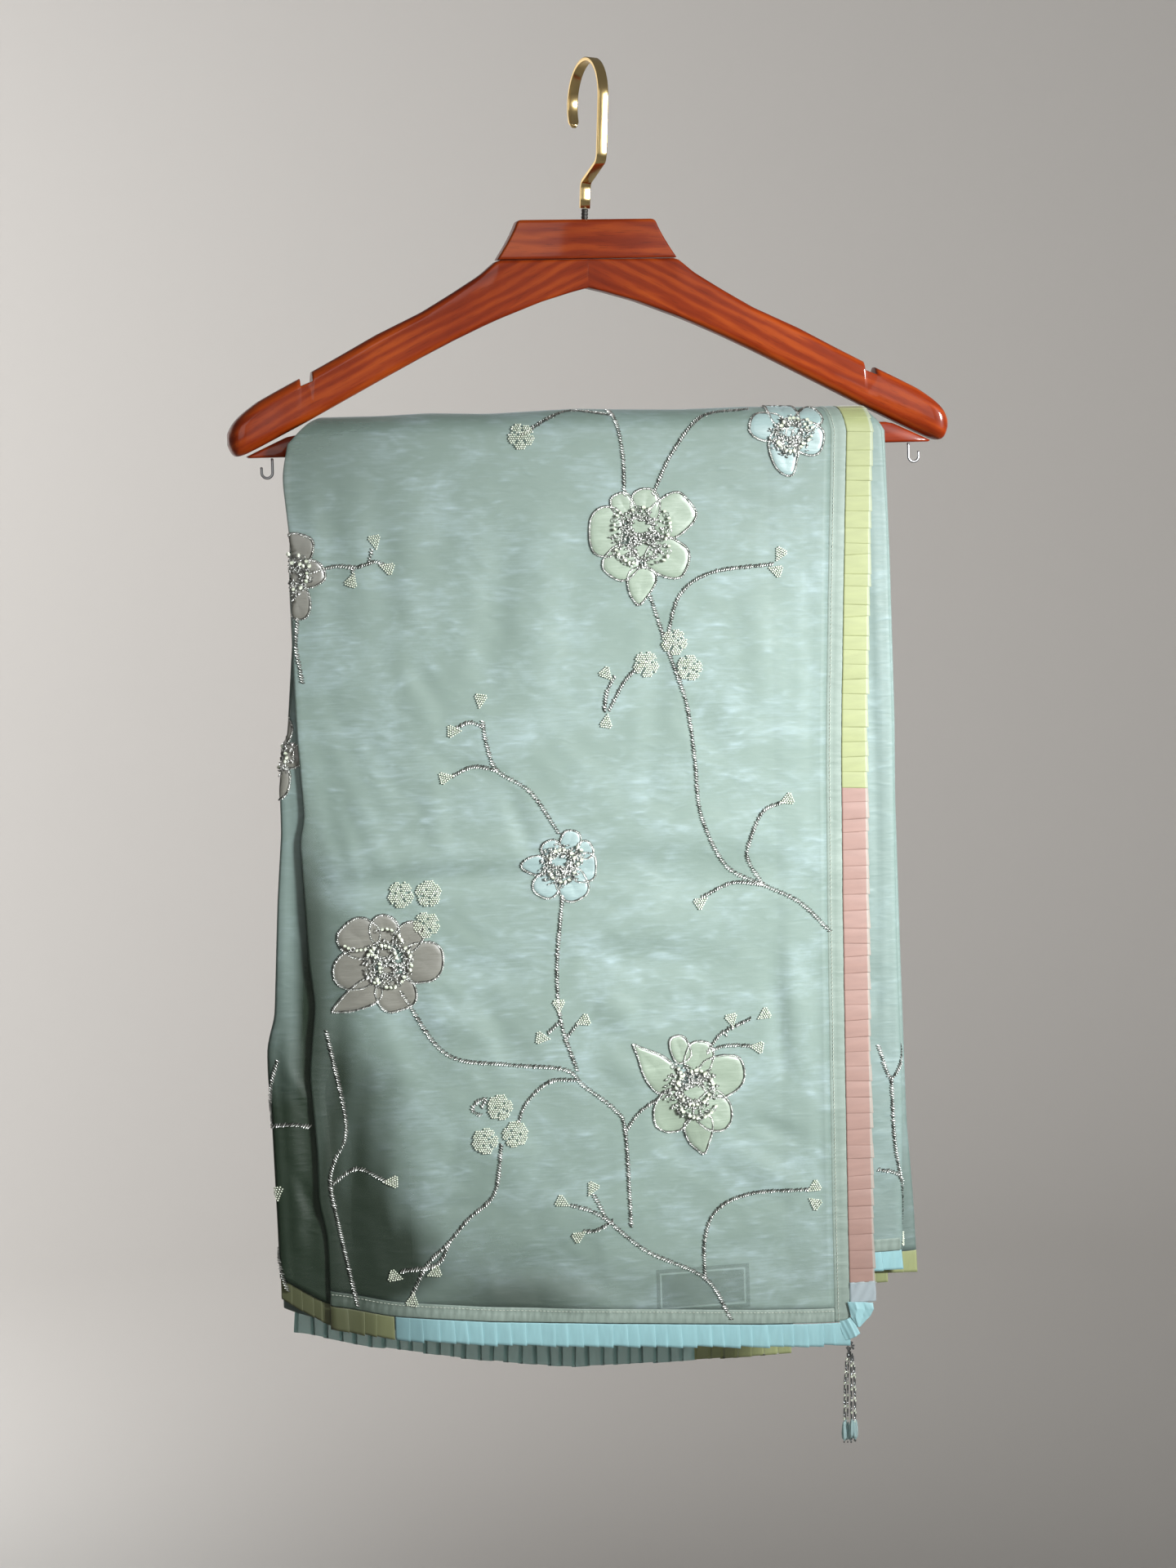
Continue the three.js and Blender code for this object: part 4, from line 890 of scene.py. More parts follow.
def on_stretch(x, s, lift, stretch):
    """A point on a stretch's outer side, moved out by lift. Beyond its edge the point goes round the fold."""
    layer, edge_at, relief, hem_at, inward = stretch
    x, s = np.broadcast_arrays(np.asarray(x, float), np.asarray(s, float))
    v = fall_parameter(x, s, hem_at)
    edge, share = edge_at(v), fall_share(v)
    run = mix(*FOLD["run"], share)
    beyond = np.maximum(0, inward * (edge - x) + run)
    flat_x = x + inward * beyond
    away = np.abs(flat_x - edge)
    depth = mix(layer["bar"], layer["hem"], share) - layer["fall_back"] * share * near_fold(away)
    depth = depth + relief(flat_x, v) * np.clip(away / FOLD["calm"], 0.25, 1)
    half = np.maximum(0.6, (depth - mix(layer["under_bar"], layer["under_hem"], share)) / 2)
    turn = np.minimum(beyond / ((run + half) / 2), 2.6)
    depth = depth - half * (1 - np.cos(turn)) + lift * np.cos(turn)
    return hang(flat_x - inward * (run + lift) * np.sin(turn), v, depth, hem_at(x, v))


PALLU_SHEET = (PALLU, PALLU_LEFT, pallu_relief, hem_of, 1)
SHEETS = {"front": PALLU_SHEET, "back": PALLU_SHEET,
          "left": (SIDE_LAYERS["left"], LEFT_EDGE, side_relief("left", 11), hem_of, 1),
          "near": (SIDE_LAYERS["near"], NEAR_RIGHT, side_relief("near", 12), side_hem("near"), -1)}

pallu_silk = make_silk("organza_right_side", (0.485, 0.615, 0.645), (0.25, 0.34, 0.295), alpha=0.55)
v = rows_of(110, 25, 176, end=0.984)
pallu_x, pallu_d = fold_section(v, PALLU_END(v) - 0.3, PALLU_LEFT(v), PALLU, 104, pallu_relief)
pallu = build_stretch("outer_stretch", (pallu_x, pallu_d), v, hem_of, pallu_silk, pallu_painted_shade)
finish_piece(pallu, "organza", "pallu_drape")

# ---- Seam band and hem bands -----------------------------------------------------------------
# Straight strips of doubled organza, folded in at both edges and stitched down by machine along
# the free end and the two hems. The stitching pulls them into small puckers.
BAND_PROFILE = [
    # share of the width, how far it stands out
    (0, -0.12), (0.03, 0.05), (0.1, 0.16), (0.25, 0.16), (0.42, 0.04), (0.5, 0.16), (0.7, 0.24), (0.9, 0.14),
    (0.98, 0.02), (1, -0.4)]


def pallu_end_point(v, offset, lift):
    """A point beside the outer stretch's end, in line with its surface."""
    x = PALLU_END(v) + offset
    share = fall_share(v)
    depth = mix(PALLU["bar"], PALLU["hem"], share) + pallu_relief(np.minimum(x, PALLU_END(v) - 2), v)
    return hang(x, v, depth + lift, hem_of(PALLU_END(v), v) + 0 * x)


def pucker(length, across, seed):
    """Small uneven gathers along a line of stitches."""
    wander = 2.2 * np.sin(length / 23 + seed) + 1.5 * np.sin(length / 8.7 + 2 * seed)
    waves = np.sin((length + wander + across * 2.4) * tau / 4.3)
    waves = waves + 0.5 * np.sin((length - across) * tau / 7.9 + seed)
    return 0.2 * waves * np.sin(np.clip(across, 0, 1) * pi) ** 0.6


def build_side_band(material):
    v = rows_of(250, 31, 250)
    share, lift = np.array(BAND_PROFILE).T
    s = down_length(v, hem_of(PALLU_END(v), v))
    lift = lift[None] + pucker(s, share[None], 1) * (np.abs(s) > 6)
    face = pallu_end_point(v, -0.4 + share[None] * (BAND["side"] + 0.3), lift)
    back = pallu_end_point(v, -0.4 + share[None] * (BAND["side"] + 0.3), -1.5 + 0 * lift)
    return shell("seam_band", face, back, material, share[None] * BAND["side"] + 0 * v, s + 0 * lift)


def hem_point(x, above, lift, back):
    """A point near the outer stretch's hem, a distance above or below it."""
    length = TURN_LENGTH + WRAP["z"] - (back_hem_line(x) if back else front_hem_line(x))
    side = -1 if back else 1
    point = on_stretch(x, side * np.minimum(length - above, length), lift, PALLU_SHEET)
    point[..., 2] += np.minimum(above, 0)
    return point


def low_left_painted_shade(x):
    """Painted shade on the lower left corner."""
    return np.clip((-112 - x) / 80, 0, 0.8)


def build_hem_band(name, left, right, back, material):
    share, lift = np.array(BAND_PROFILE).T
    x = np.linspace(left, right, 260)[:, None]
    lift = lift[None] + pucker(x, share[None], 5 if back else 3)
    above = BAND["hem"] * (1 - share[None]) + 0 * x
    x = x + 0 * above
    # the strip gets painted shade at the lower left
    return shell(name, hem_point(x, above, lift, back), hem_point(x, above, -1.5, back), material, above, x,
                 low_left_painted_shade(x))


def make_sewing_tree(name, along_line):
    """Geometry nodes that set one small piece at each point, or at even steps along a line, turned to
    the line and standing out from the cloth."""
    tree = bpy.data.node_groups.new(name, "GeometryNodeTree")
    tree.interface.new_socket(name="Geometry", in_out="INPUT", socket_type="NodeSocketGeometry")
    for label, kind, value in (("Piece", "Object", None), ("Step", "Float", 0.001),
                               ("Size Spread", "Float", 0.0), ("Turn Spread", "Float", 0.0),
                               ("Zigzag", "Float", 0.0), ("Lean", "Float", 0.0), ("Seed", "Int", 0),
                               ("Material", "Material", None)):
        socket = tree.interface.new_socket(name=label, in_out="INPUT", socket_type="NodeSocket" + kind)
        if value is not None:
            socket.default_value = value
    tree.interface.new_socket(name="Geometry", in_out="OUTPUT", socket_type="NodeSocketGeometry")
    given, put = tree.nodes.new("NodeGroupInput").outputs, tree.nodes.new("NodeGroupOutput").inputs
    where = given["Geometry"]
    if along_line:
        line = add_node(tree, "GeometryNodeMeshToCurve", {"Mesh": where}).outputs["Curve"]
        where = add_node(tree, "GeometryNodeResampleCurve", {"Curve": line, "Length": given["Step"]},
                         mode="LENGTH")
        where = where.outputs["Curve"]
        along = add_node(tree, "GeometryNodeInputTangent").outputs["Tangent"]
    else:
        along = add_node(tree, "GeometryNodeInputNamedAttribute", {"Name": "along"}, data_type="FLOAT_VECTOR")
        along = along.outputs["Attribute"]
    out = add_node(tree, "GeometryNodeInputNamedAttribute", {"Name": "out"}, data_type="FLOAT_VECTOR")
    turned = add_node(tree, "FunctionNodeAlignRotationToVector", {"Vector": along}, axis="X",
                      pivot_axis="AUTO")
    turned = add_node(tree, "FunctionNodeAlignRotationToVector", {
        "Rotation": turned.outputs["Rotation"], "Vector": out.outputs["Attribute"]}, axis="Z", pivot_axis="X")
    index = add_node(tree, "GeometryNodeInputIndex").outputs["Index"]
    side = math_node(tree, "MULTIPLY_ADD", math_node(tree, "MODULO", index, 2.0), 2.0, -1.0)
    zigzag = math_node(tree, "MULTIPLY", side, given["Zigzag"])
    less = math_node(tree, "MULTIPLY", given["Turn Spread"], -1.0)
    chance = add_node(tree, "FunctionNodeRandomValue", {
        2: less, 3: given["Turn Spread"], "Seed": given["Seed"]}, data_type="FLOAT").outputs[1]
    angle = math_node(tree, "ADD", math_node(tree, "ADD", zigzag, given["Lean"]), chance)
    spin = add_node(tree, "FunctionNodeAxisAngleToRotation", {"Axis": (0, 0, 1), "Angle": angle})
    turned = add_node(tree, "FunctionNodeRotateRotation", {
        "Rotation": turned.outputs["Rotation"], "Rotate By": spin.outputs["Rotation"]},
        rotation_space="LOCAL")
    small, large = (math_node(tree, kind, 1.0, given["Size Spread"]) for kind in ("SUBTRACT", "ADD"))
    other = math_node(tree, "ADD", given["Seed"], 7.0)
    size = add_node(tree, "FunctionNodeRandomValue", {2: small, 3: large, "Seed": other}, data_type="FLOAT")
    shape = add_node(tree, "GeometryNodeObjectInfo", {"Object": given["Piece"]}).outputs["Geometry"]
    placed = add_node(tree, "GeometryNodeInstanceOnPoints", {
        "Points": where, "Instance": shape, "Rotation": turned.outputs["Rotation"],
        "Scale": size.outputs[1]}).outputs["Instances"]
    tone = add_node(tree, "FunctionNodeRandomValue", {"Seed": given["Seed"]}, data_type="FLOAT").outputs[1]
    toned = add_node(tree, "GeometryNodeStoreNamedAttribute",
                     {"Geometry": placed, "Name": "tone", "Value": tone},
                     data_type="FLOAT", domain="INSTANCE").outputs["Geometry"]
    real = add_node(tree, "GeometryNodeRealizeInstances", {"Geometry": toned}).outputs["Geometry"]
    made = add_node(tree, "GeometryNodeSetMaterial", {"Geometry": real, "Material": given["Material"]})
    tree.links.new(made.outputs["Geometry"], put["Geometry"])
    return tree


def outward_at(place, *where):
    """How the cloth faces at places on it, from its own surface."""
    a, b = (np.asarray(value, float) for value in where)
    step_a, step_b = place(a + 0.5, b) - place(a - 0.5, b), place(a, b + 0.5) - place(a, b - 0.5)
    out = np.cross(step_b, step_a)
    return out / np.linalg.norm(out, axis=-1, keepdims=True)


def sew_on(name, tree, template, material, lines=None, points=None, out=None, along=None, **settings):
    """Runs a sewing tree over guide lines or points and keeps the result as a plain mesh."""
    guide = bpy.data.meshes.new(name)
    if lines is not None:
        starts = np.cumsum([0] + [len(line) for line in lines])
        edges = [(a + k, a + k + 1) for a, line in zip(starts, lines) for k in range(len(line) - 1)]
        guide.from_pydata((np.concatenate(lines) * MM).tolist(), edges, [])
        out = np.concatenate(out)
    else:
        guide.from_pydata((np.asarray(points) * MM).tolist(), [], [])
        store_vectors(guide, "along", along)
    store_vectors(guide, "out", out)
    piece = bpy.data.objects.new(name, guide)
    bpy.context.collection.objects.link(piece)
    sewing = piece.modifiers.new("sewing", "NODES")
    sewing.node_group = tree
    settings = {"Piece": template, "Material": material, **settings}
    for item in tree.interface.items_tree:
        label = item.name.replace(" ", "_")
        if item.in_out == "INPUT" and label in settings:
            sewing[item.identifier] = settings[label]
    done = bpy.data.meshes.new_from_object(piece.evaluated_get(bpy.context.evaluated_depsgraph_get()))
    piece.modifiers.clear()
    piece.data = done
    bpy.data.meshes.remove(guide)
    done.name = name
    return piece


def make_template(name, points, faces, smooth=True):
    """A small piece that a sewing tree repeats. It isn't part of the scene itself."""
    return bpy.data.objects.new(name, new_mesh(name, points, faces, smooth))


def barrel(name, length, width, sides, waist=0.62):
    """A low bead or stitch, its hole's ends closed."""
    points = [(x * length, r * width / 2 * cos(t), r * width / 2 * sin(t))
              for x, r in ((-0.5, waist), (0, 1), (0.5, waist))
              for t in np.linspace(0, tau, sides, endpoint=False)]
    faces = [face[::-1] for face in grid_faces(3, sides, closed=True)]
    faces += [tuple(range(sides - 1, -1, -1)), tuple(range(2 * sides, 3 * sides))]
    return make_template(name, points, faces)


sew_at_points = make_sewing_tree("sew_at_points", False)
sew_along_line = make_sewing_tree("sew_along_line", True)
thread, _, _ = new_material("pale_sewing_thread", Roughness=0.55, Base_Color=(0.62, 0.66, 0.56, 1))
stitch = barrel("stitch", 1.7, 0.34, 4)
band_silk = make_silk("doubled_organza", (0.30, 0.37, 0.325), (0.21, 0.27, 0.23), alpha=0.85)
side_band = build_side_band(band_silk)
front_band = build_hem_band("front_hem_strip", -188.4, 126.6, False, band_silk)
back_band = build_hem_band("back_hem_strip", -202, 92, True, band_silk)
for piece, node in ((side_band, "side_seam_band"), (front_band, "front_hem_band"),
                    (back_band, "back_hem_band")):
    finish_piece(piece, "organza", node)
v = rows_of(220, 21, 220)
STITCH_LINE = {"side": 2.0, "hem": 7.2}
stitch_lines = [pallu_end_point(v, STITCH_LINE["side"], 0.45)[:, 0]]
stitch_outs = [outward_at(lambda a, b: pallu_end_point(b / FALL["middling"], a, 0),
                          STITCH_LINE["side"] + 0 * v, v * FALL["middling"])[:, 0]]
for left, right, back in ((-186, 126, False), (-200, 92, True)):
    x = np.linspace(left, right, 180)
    stitch_lines.append(hem_point(x, STITCH_LINE["hem"], 0.42, back))
    stitch_outs.append(np.tile((0, 1 if back else -1, 0), (180, 1)))
stitches = sew_on("machine_stitches", sew_along_line, stitch, thread, lines=stitch_lines, out=stitch_outs,
                  Step=2.3 * MM, Size_Spread=0.1, Turn_Spread=0.05)
finish_piece(stitches, "organza")

# ---- Side ribbon -----------------------------------------------------------------------------
# A sheer ribbon, knife-pleated and sewn beside the seam band from hem to hem: yellow over the bar,
# pink down to both hems, with one flat blue-grey piece at the front corner.
RIBBON = {"start": 9.7, "width": 17, "pleat": 9.7, "yellow_to": -450, "front_end": -760.9, "back_end": -808,
          "front_x": 128.0, "back_x": 100.0, "end_piece": 13}
PLEAT = [
    # a knife pleat's section: share of the pitch and share of its height, from the tuck over the face to the
    # fold and back under
    (0.0, 0.08), (0.12, 0.2), (0.45, 0.5), (0.8, 0.82), (0.97, 1), (1.02, 0.9), (0.94, 0.62), (0.72, 0.34)]
FLAT_PLEAT = [(0.0, 0.0), (0.04, 0.3), (0.5, 0.6), (0.92, 0.95), (0.985, 1), (1.0, 0.5), (1.0, 0.0)]
PLEAT_DROPS = (0, 0.06, 0.3, 0.6, 0.88, 1)


def pleated_strip(name, lay, start, end, pitch, drop, height, material, seed, shade=np.zeros_like,
                  pleat=PLEAT):
    """A ribbon folded in knife pleats and sewn along one edge. lay(along, away, lift) puts a point beside
    the seam; the folds open towards the free edge, which is uneven from pleat to pleat."""
    draw = np.random.default_rng(seed)
    count = max(1, int(round(abs(end - start) / pitch)))
    starts = np.linspace(start, end, count + 1)[:-1] + draw.uniform(-0.13, 0.13, count) * pitch
    share, up = np.array(pleat).T
    step = np.sign(end - start) * pitch
    pitches = np.diff(starts, append=end)[:, None]
    along = (starts[:, None] + share[None] * pitches * 1.02).ravel()[None]
    longer = (draw.uniform(-0.035, 0.035, count)[:, None] + 0.03 * (share[None] - 0.5)).ravel()[None]
    puff = (height * draw.uniform(0.6, 1.3, count)[:, None] * up[None]).ravel()[None]
    down = np.array(PLEAT_DROPS)[:, None]
    flare = draw.uniform(-0.05, 0.12, count)[:, None] * step * share[None]
    along = along + flare.ravel()[None] * down
    away = down * drop * (1 + longer * down)
    lift = 0.12 + puff * (0.3 + 0.7 * down ** 0.7)
    face, back = lay(along, away, lift + 0.07), lay(along, away, lift - 0.07)
    return shell(name, face, back, material, away + 0 * along, along + 0 * away, shade(along + 0 * away))


def make_ribbon(name, colour, alpha=0.86, selvage=0.0):
    """Sheer ribbon, ribbed across, with a pale selvage at its free edge, and painted shade low on the left."""
    material, tree, shader = new_material(
        name, Roughness=0.55, IOR=1.5, Alpha=alpha, Sheen_Weight=0.25, Sheen_Roughness=0.4)
    cloth = attribute(tree, "cloth")
    ribs = map_range(tree, noise_node(tree, stretched(tree, cloth, (60, 300, 1)), 4), 0.3, 0.7)
    mixed = mix_colours(tree, ribs, tuple(c * 0.88 for c in colour) + (1,), tuple(colour) + (1,))
    away = add_node(tree, "ShaderNodeSeparateXYZ", {"Vector": cloth}).outputs["X"]
    edge = map_range(tree, away, (RIBBON["width"] - 1.9) * MM, (RIBBON["width"] - 1.3) * MM, 0, selvage)
    edged = mix_colours(tree, edge, mixed, (0.34, 0.38, 0.34, 1))
    # painted shade: the colour darkened towards a deep tone of itself
    shaded = mix_colours(tree, attribute(tree, "gap", "Fac"), edged, tuple(c * 0.12 for c in colour) + (1,))
    tree.links.new(shaded, shader.inputs["Base Color"])
    return material


yellow_ribbon = make_ribbon("pleated_ribbon_yellow", (0.33, 0.36, 0.165), selvage=0.5)
pink_ribbon = make_ribbon("pleated_ribbon_pink", (0.34, 0.205, 0.17), selvage=0.5)
blue_ribbon = make_ribbon("pleated_ribbon_blue", (0.32, 0.56, 0.59), alpha=0.78)
# painted light: a paler copy of the blue ribbon, so the back ruffle, which hangs in shade below the front
# one, looks lit from behind
blue_ribbon_painted_lit = make_ribbon("pleated_ribbon_blue_behind", (0.55, 0.86, 0.82), alpha=0.66)
end_ribbon = make_ribbon("flat_ribbon_end", (0.40, 0.47, 0.50), alpha=0.6)
front_length, back_length = (TURN_LENGTH + WRAP["z"] - RIBBON[end] for end in ("front_end", "back_end"))
yellow_length = TURN_LENGTH + WRAP["z"] - RIBBON["yellow_to"]
SIDE_RIBBONS = [
    # piece, CAD node, material, slot, from and to
    ("yellow_pleats_front", "side_ribbon_yellow", yellow_ribbon, "ribbon_yellow", 0, yellow_length),
    ("yellow_pleats_back", None, yellow_ribbon, "ribbon_yellow", 0, -yellow_length),
    ("pink_pleats_front", "side_ribbon_pink_front", pink_ribbon, "ribbon_pink", yellow_length, front_length),
    ("pink_pleats_back", "side_ribbon_pink_back", pink_ribbon, "ribbon_pink", -yellow_length, -back_length),
]


def beside_seam(s, away, lift):
    """A point on the side ribbon: s along the outer stretch's end, away from the band."""
    v = fall_parameter(np.where(s < 0, RIBBON["back_x"], RIBBON["front_x"]), s)
    return pallu_end_point(v, RIBBON["start"] + away, lift)


for seed, (name, node, material, slot, from_s, to_s) in enumerate(SIDE_RIBBONS):
    pleats = pleated_strip(name, beside_seam, from_s, to_s, RIBBON["pleat"], RIBBON["width"], 0.4, material,
                           seed, pleat=FLAT_PLEAT)
    finish_piece(pleats, slot, *([node] if node else []))


def build_ribbon_end(material):
    ends = (fall_parameter(RIBBON["front_x"], front_length + longer) for longer in (0, RIBBON["end_piece"]))
    v = np.linspace(*ends, 14)[:, None]
    across = np.linspace(RIBBON["start"], RIBBON["start"] + RIBBON["width"], 14)[None]
    lift = 0.5 + 0.35 * np.sin(across * 0.9 + v * 300)
    face, back = pallu_end_point(v + 0 * across, across + 0 * v, lift), pallu_end_point(v, across, lift - 0.4)
    return shell("flat_ribbon_piece", face, back, material)


ribbon_end = build_ribbon_end(end_ribbon)
finish_piece(ribbon_end, "ribbon_blue", "side_ribbon_end")

# ---- Hem ruffles -----------------------------------------------------------------------------
# The same ribbon, knife-pleated and sewn below each hem with its lower edge free. Short lengths of
# it show at the hems of the side stretches, and its end is folded over at the front corner.
HEM_PLEAT, HEM_DROP = 8.9, 14.2
RUFFLES = [
    # piece, CAD node, material, slot, back, from, to
    ("front_pleats_yellow", "front_ruffle_yellow", yellow_ribbon, "ribbon_yellow", False, -189.5, -152),
    ("front_pleats_blue", "front_ruffle_blue", blue_ribbon, "ribbon_blue", False, -152, 136),
    ("back_pleats_blue", "back_ruffle_blue", blue_ribbon_painted_lit, "ribbon_blue", True, -202, 53),
    ("back_pleats_yellow", "back_ruffle_yellow", yellow_ribbon, "ribbon_yellow", True, 53, 118),
]
SIDE_RUFFLES = [
    # piece, CAD node, material, slot, layer, back, from, to, pleat, drop, hem
    ("left_pleats", "left_fold_ruffle", yellow_ribbon, "ribbon_yellow", "left", False, -219, -182, 6.2, 13,
     None),
    ("near_pleats", "right_near_ruffle", blue_ribbon, "ribbon_blue", "near", False, 148, 173.5, 12.5, 12.5,
     -744.5),
    ("far_pleats", "right_far_ruffle", yellow_ribbon, "ribbon_yellow", "far", False, 156, 185.5, 9.5, 13.5,
     -747),
    ("near_pleats_back", None, yellow_ribbon, "ribbon_yellow", "near", True, 161.5, 118, 9.5, 13, -768),
    ("far_pleats_back", None, yellow_ribbon, "ribbon_yellow", "far", True, 180, 128, 9.5, 12, -765),
]


def below_hem(back):
    return lambda x, away, lift: hem_point(x, -0.3 - away, lift, back)


def below_side(which, back, hem_z):
    """Places below a side stretch's hem."""
    layer, edge_at = SIDE_LAYERS[which], {"left": LEFT_EDGE, "near": NEAR_RIGHT, "far": FAR_RIGHT}[which]
    way = -1.0 if back else 1.0

    def lay(x, away, lift):
        depth = layer["hem"] - 0.8 - layer["fall_back"] * near_fold(np.abs(x - edge_at(way))) + lift
        low = front_hem_line(x) if hem_z is None else hem_z
        return hang(x, way + 0 * x, depth, low - away)
    return lay


def build_side_strip(name, lay, low, high, material):
    """The hem strip of a side stretch, above its pleats."""
    share, lift = np.array(BAND_PROFILE).T
    x = np.linspace(low, high, 40)[:, None]
    away = 8 * (share[None] - 1) + 0 * x
    lift = 1.3 + lift[None] + pucker(x, share[None], 8)
    x = x + 0 * away
    return shell(name, lay(x, away, lift), lay(x, away, lift - 1.6), material, away, x, 0 * away)


near_strip = build_side_strip("near_hem_strip", below_side("near", False, SIDE_HEM["near"][0]), 150, 173,
                              band_silk)
finish_piece(near_strip, "organza")
# Painted shade at the lower left goes on the front hem ruffles and on the side ruffles, not on the back hem
# ruffles.
for seed, (name, node, material, slot, back, low, high) in enumerate(RUFFLES):
    ends = (high, low) if back else (low, high)
    pleats = pleated_strip(name, below_hem(back), *ends, HEM_PLEAT, HEM_DROP, 1.5, material, 40 + seed,
                           np.zeros_like if back else low_left_painted_shade)
    finish_piece(pleats, slot, node)
for seed, (name, node, material, slot, which, back, low, high, pitch, drop, hem_z) in enumerate(SIDE_RUFFLES):
    pleats = pleated_strip(name, below_side(which, back, hem_z), low, high, pitch, drop, 1.0, material,
                           50 + seed, low_left_painted_shade)
    finish_piece(pleats, slot, *([node] if node else []))

# ---- Maker's label ---------------------------------------------------------------------------
# A small plain patch, stitched inside and seen through the sheer cloth, with a thin frame line.
# Nothing is written on it.
LABEL = {"middle": (0.0427, -0.7577), "half": (0.0268, 0.0108), "line": 0.0005, "margin": 0.003,
         "front": -0.02}


def make_label_group():
    """Where a place lies on the label, seen from the front: inside its outline, and on its frame line."""
    group = bpy.data.node_groups.new("label_outline", "ShaderNodeTree")
    for name in ("Inside", "Line"):
        group.interface.new_socket(name=name, in_out="OUTPUT", socket_type="NodeSocketFloat")
    put = group.nodes.new("NodeGroupOutput").inputs
    place = add_node(group, "ShaderNodeTexCoord").outputs["Object"]
    parts = add_node(group, "ShaderNodeSeparateXYZ", {"Vector": place}).outputs
    beyond = []
    for axis, middle, half in zip("XZ", LABEL["middle"], LABEL["half"]):
        away = math_node(group, "ABSOLUTE", math_node(group, "SUBTRACT", parts[axis], middle))
        beyond.append(math_node(group, "SUBTRACT", away, half))
    beyond = math_node(group, "MAXIMUM", *beyond)
    front = math_node(group, "LESS_THAN", parts["Y"], LABEL["front"])
    for name, mask in (("Inside", math_node(group, "LESS_THAN", beyond, LABEL["margin"])),
                       ("Line", math_node(group, "COMPARE", beyond, 0.0, LABEL["line"]))):
        group.links.new(math_node(group, "MULTIPLY", mask, front), put[name])
    return group


label_outline = make_label_group()
label_cloth, tree, shader = new_material("plain_label", Roughness=0.7)
masks = add_node(tree, "ShaderNodeGroup", node_tree=label_outline).outputs
frame_tone = mix_colours(tree, masks["Line"], (0.03, 0.04, 0.045, 1), (0.62, 0.66, 0.64, 1))
tree.links.new(frame_tone, shader.inputs["Base Color"])
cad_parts["label"].data.materials.clear()
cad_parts["label"].data.materials.append(label_cloth)
tree = pallu_silk.node_tree
silk = next(node for node in tree.nodes if node.type == "GROUP")
masks = add_node(tree, "ShaderNodeGroup", node_tree=label_outline).outputs
shade = silk.inputs["Shade"].links[0].from_socket
for mask, darker in (("Inside", 0.26), ("Line", -0.3)):
    shade = math_node(tree, "MULTIPLY_ADD", masks[mask], darker, shade)
tree.links.new(shade, silk.inputs["Shade"])

# ---- Corner fold -----------------------------------------------------------------------------
# At the front corner the hem ribbon's end is folded over itself to a point and caught with a few
# stitches. The tassel hangs from that point.
CORNER_FOLD = [
    # (x, z, how far it stands out) from left to right, in rows from the top; the ribbon's end first, then
    # the hem ruffle's last pleat, which swings up to it
    [[(134.7, -772.6, 1.4), (140, -772.9, 2.6), (146, -773.6, 1.6), (151.7, -774.6, 1.2)],
     [(136, -778, 1.8), (140.3, -777.3, 3.4), (146, -777.8, 1.6), (151.6, -778.4, 2.6)],
     [(136.9, -782.6, 2.2), (139.4, -783, 3.4), (144.5, -782.5, 1.8), (149.4, -782.4, 2.4)],
     [(140.6, -788.6, 2.4), (141.4, -789.1, 3), (142.2, -789.3, 2.2), (143, -788.6, 2.2)]],
    [[(129.5, -784.6, 0.6), (132, -784.4, 1.2), (134.6, -783.4, 2), (137, -782.4, 1.5)],
     [(130.6, -790.4, 0.9), (133.6, -789.9, 1.7), (137, -788.3, 2.7), (139.9, -787.3, 2)],
     [(132.3, -797.4, 1), (135.6, -796.6, 2), (139.4, -794.9, 3.1), (142.6, -793.2, 2.3)]]]


def creased_patch(name, patches, material, base, steps=6):
    """Small pieces of folded ribbon from tables of a few points, the creases between them kept soft."""
    face_rows = []
    for table in patches:
        grid = np.array(table, float)
        rows, columns = grid.shape[:2]
        i = np.linspace(0, rows - 1, (rows - 1) * steps + 1)[:, None]
        j = np.linspace(0, columns - 1, (columns - 1) * steps + 1)[None]
        a, b = np.minimum(i.astype(int), rows - 2), np.minimum(j.astype(int), columns - 2)
        p, q = (i - a)[..., None], (j - b)[..., None]
        p, q = p - 0.1 * np.sin(p * tau), q - 0.1 * np.sin(q * tau)
        spot = mix(mix(grid[a, b], grid[a, b + 1], q), mix(grid[a + 1, b], grid[a + 1, b + 1], q), p)
        ripple = 0.16 * np.sin(spot[..., 0] * 1.9 + spot[..., 1] * 0.9)
        x, z, out = (spot[..., k] for k in range(3))
        face_rows.append([hang(x, 1 + 0 * x, base + out + ripple + up, z) for up in (0.1, -0.1)])
    pieces = [shell(f"{name}_{k}", *faces, material) for k, faces in enumerate(face_rows)]
    return join_pieces(name, pieces)


def join_pieces(name, pieces):
    """One mesh of several, as plain vertices and faces."""
    points, faces = [], []
    for piece in pieces:
        start = len(points)
        points += [tuple(v.co / MM) for v in piece.data.vertices]
        faces += [tuple(start + k for k in face.vertices) for face in piece.data.polygons]
    joined = new_mesh_object(name, points, faces, pieces[0].data.materials[0])
    for piece in pieces:
        mesh = piece.data
        bpy.data.objects.remove(piece)
        bpy.data.meshes.remove(mesh)
    return joined


corner = creased_patch("folded_ribbon_corner", CORNER_FOLD, blue_ribbon, PALLU["hem"])
finish_piece(corner, "ribbon_blue", "corner_fold")

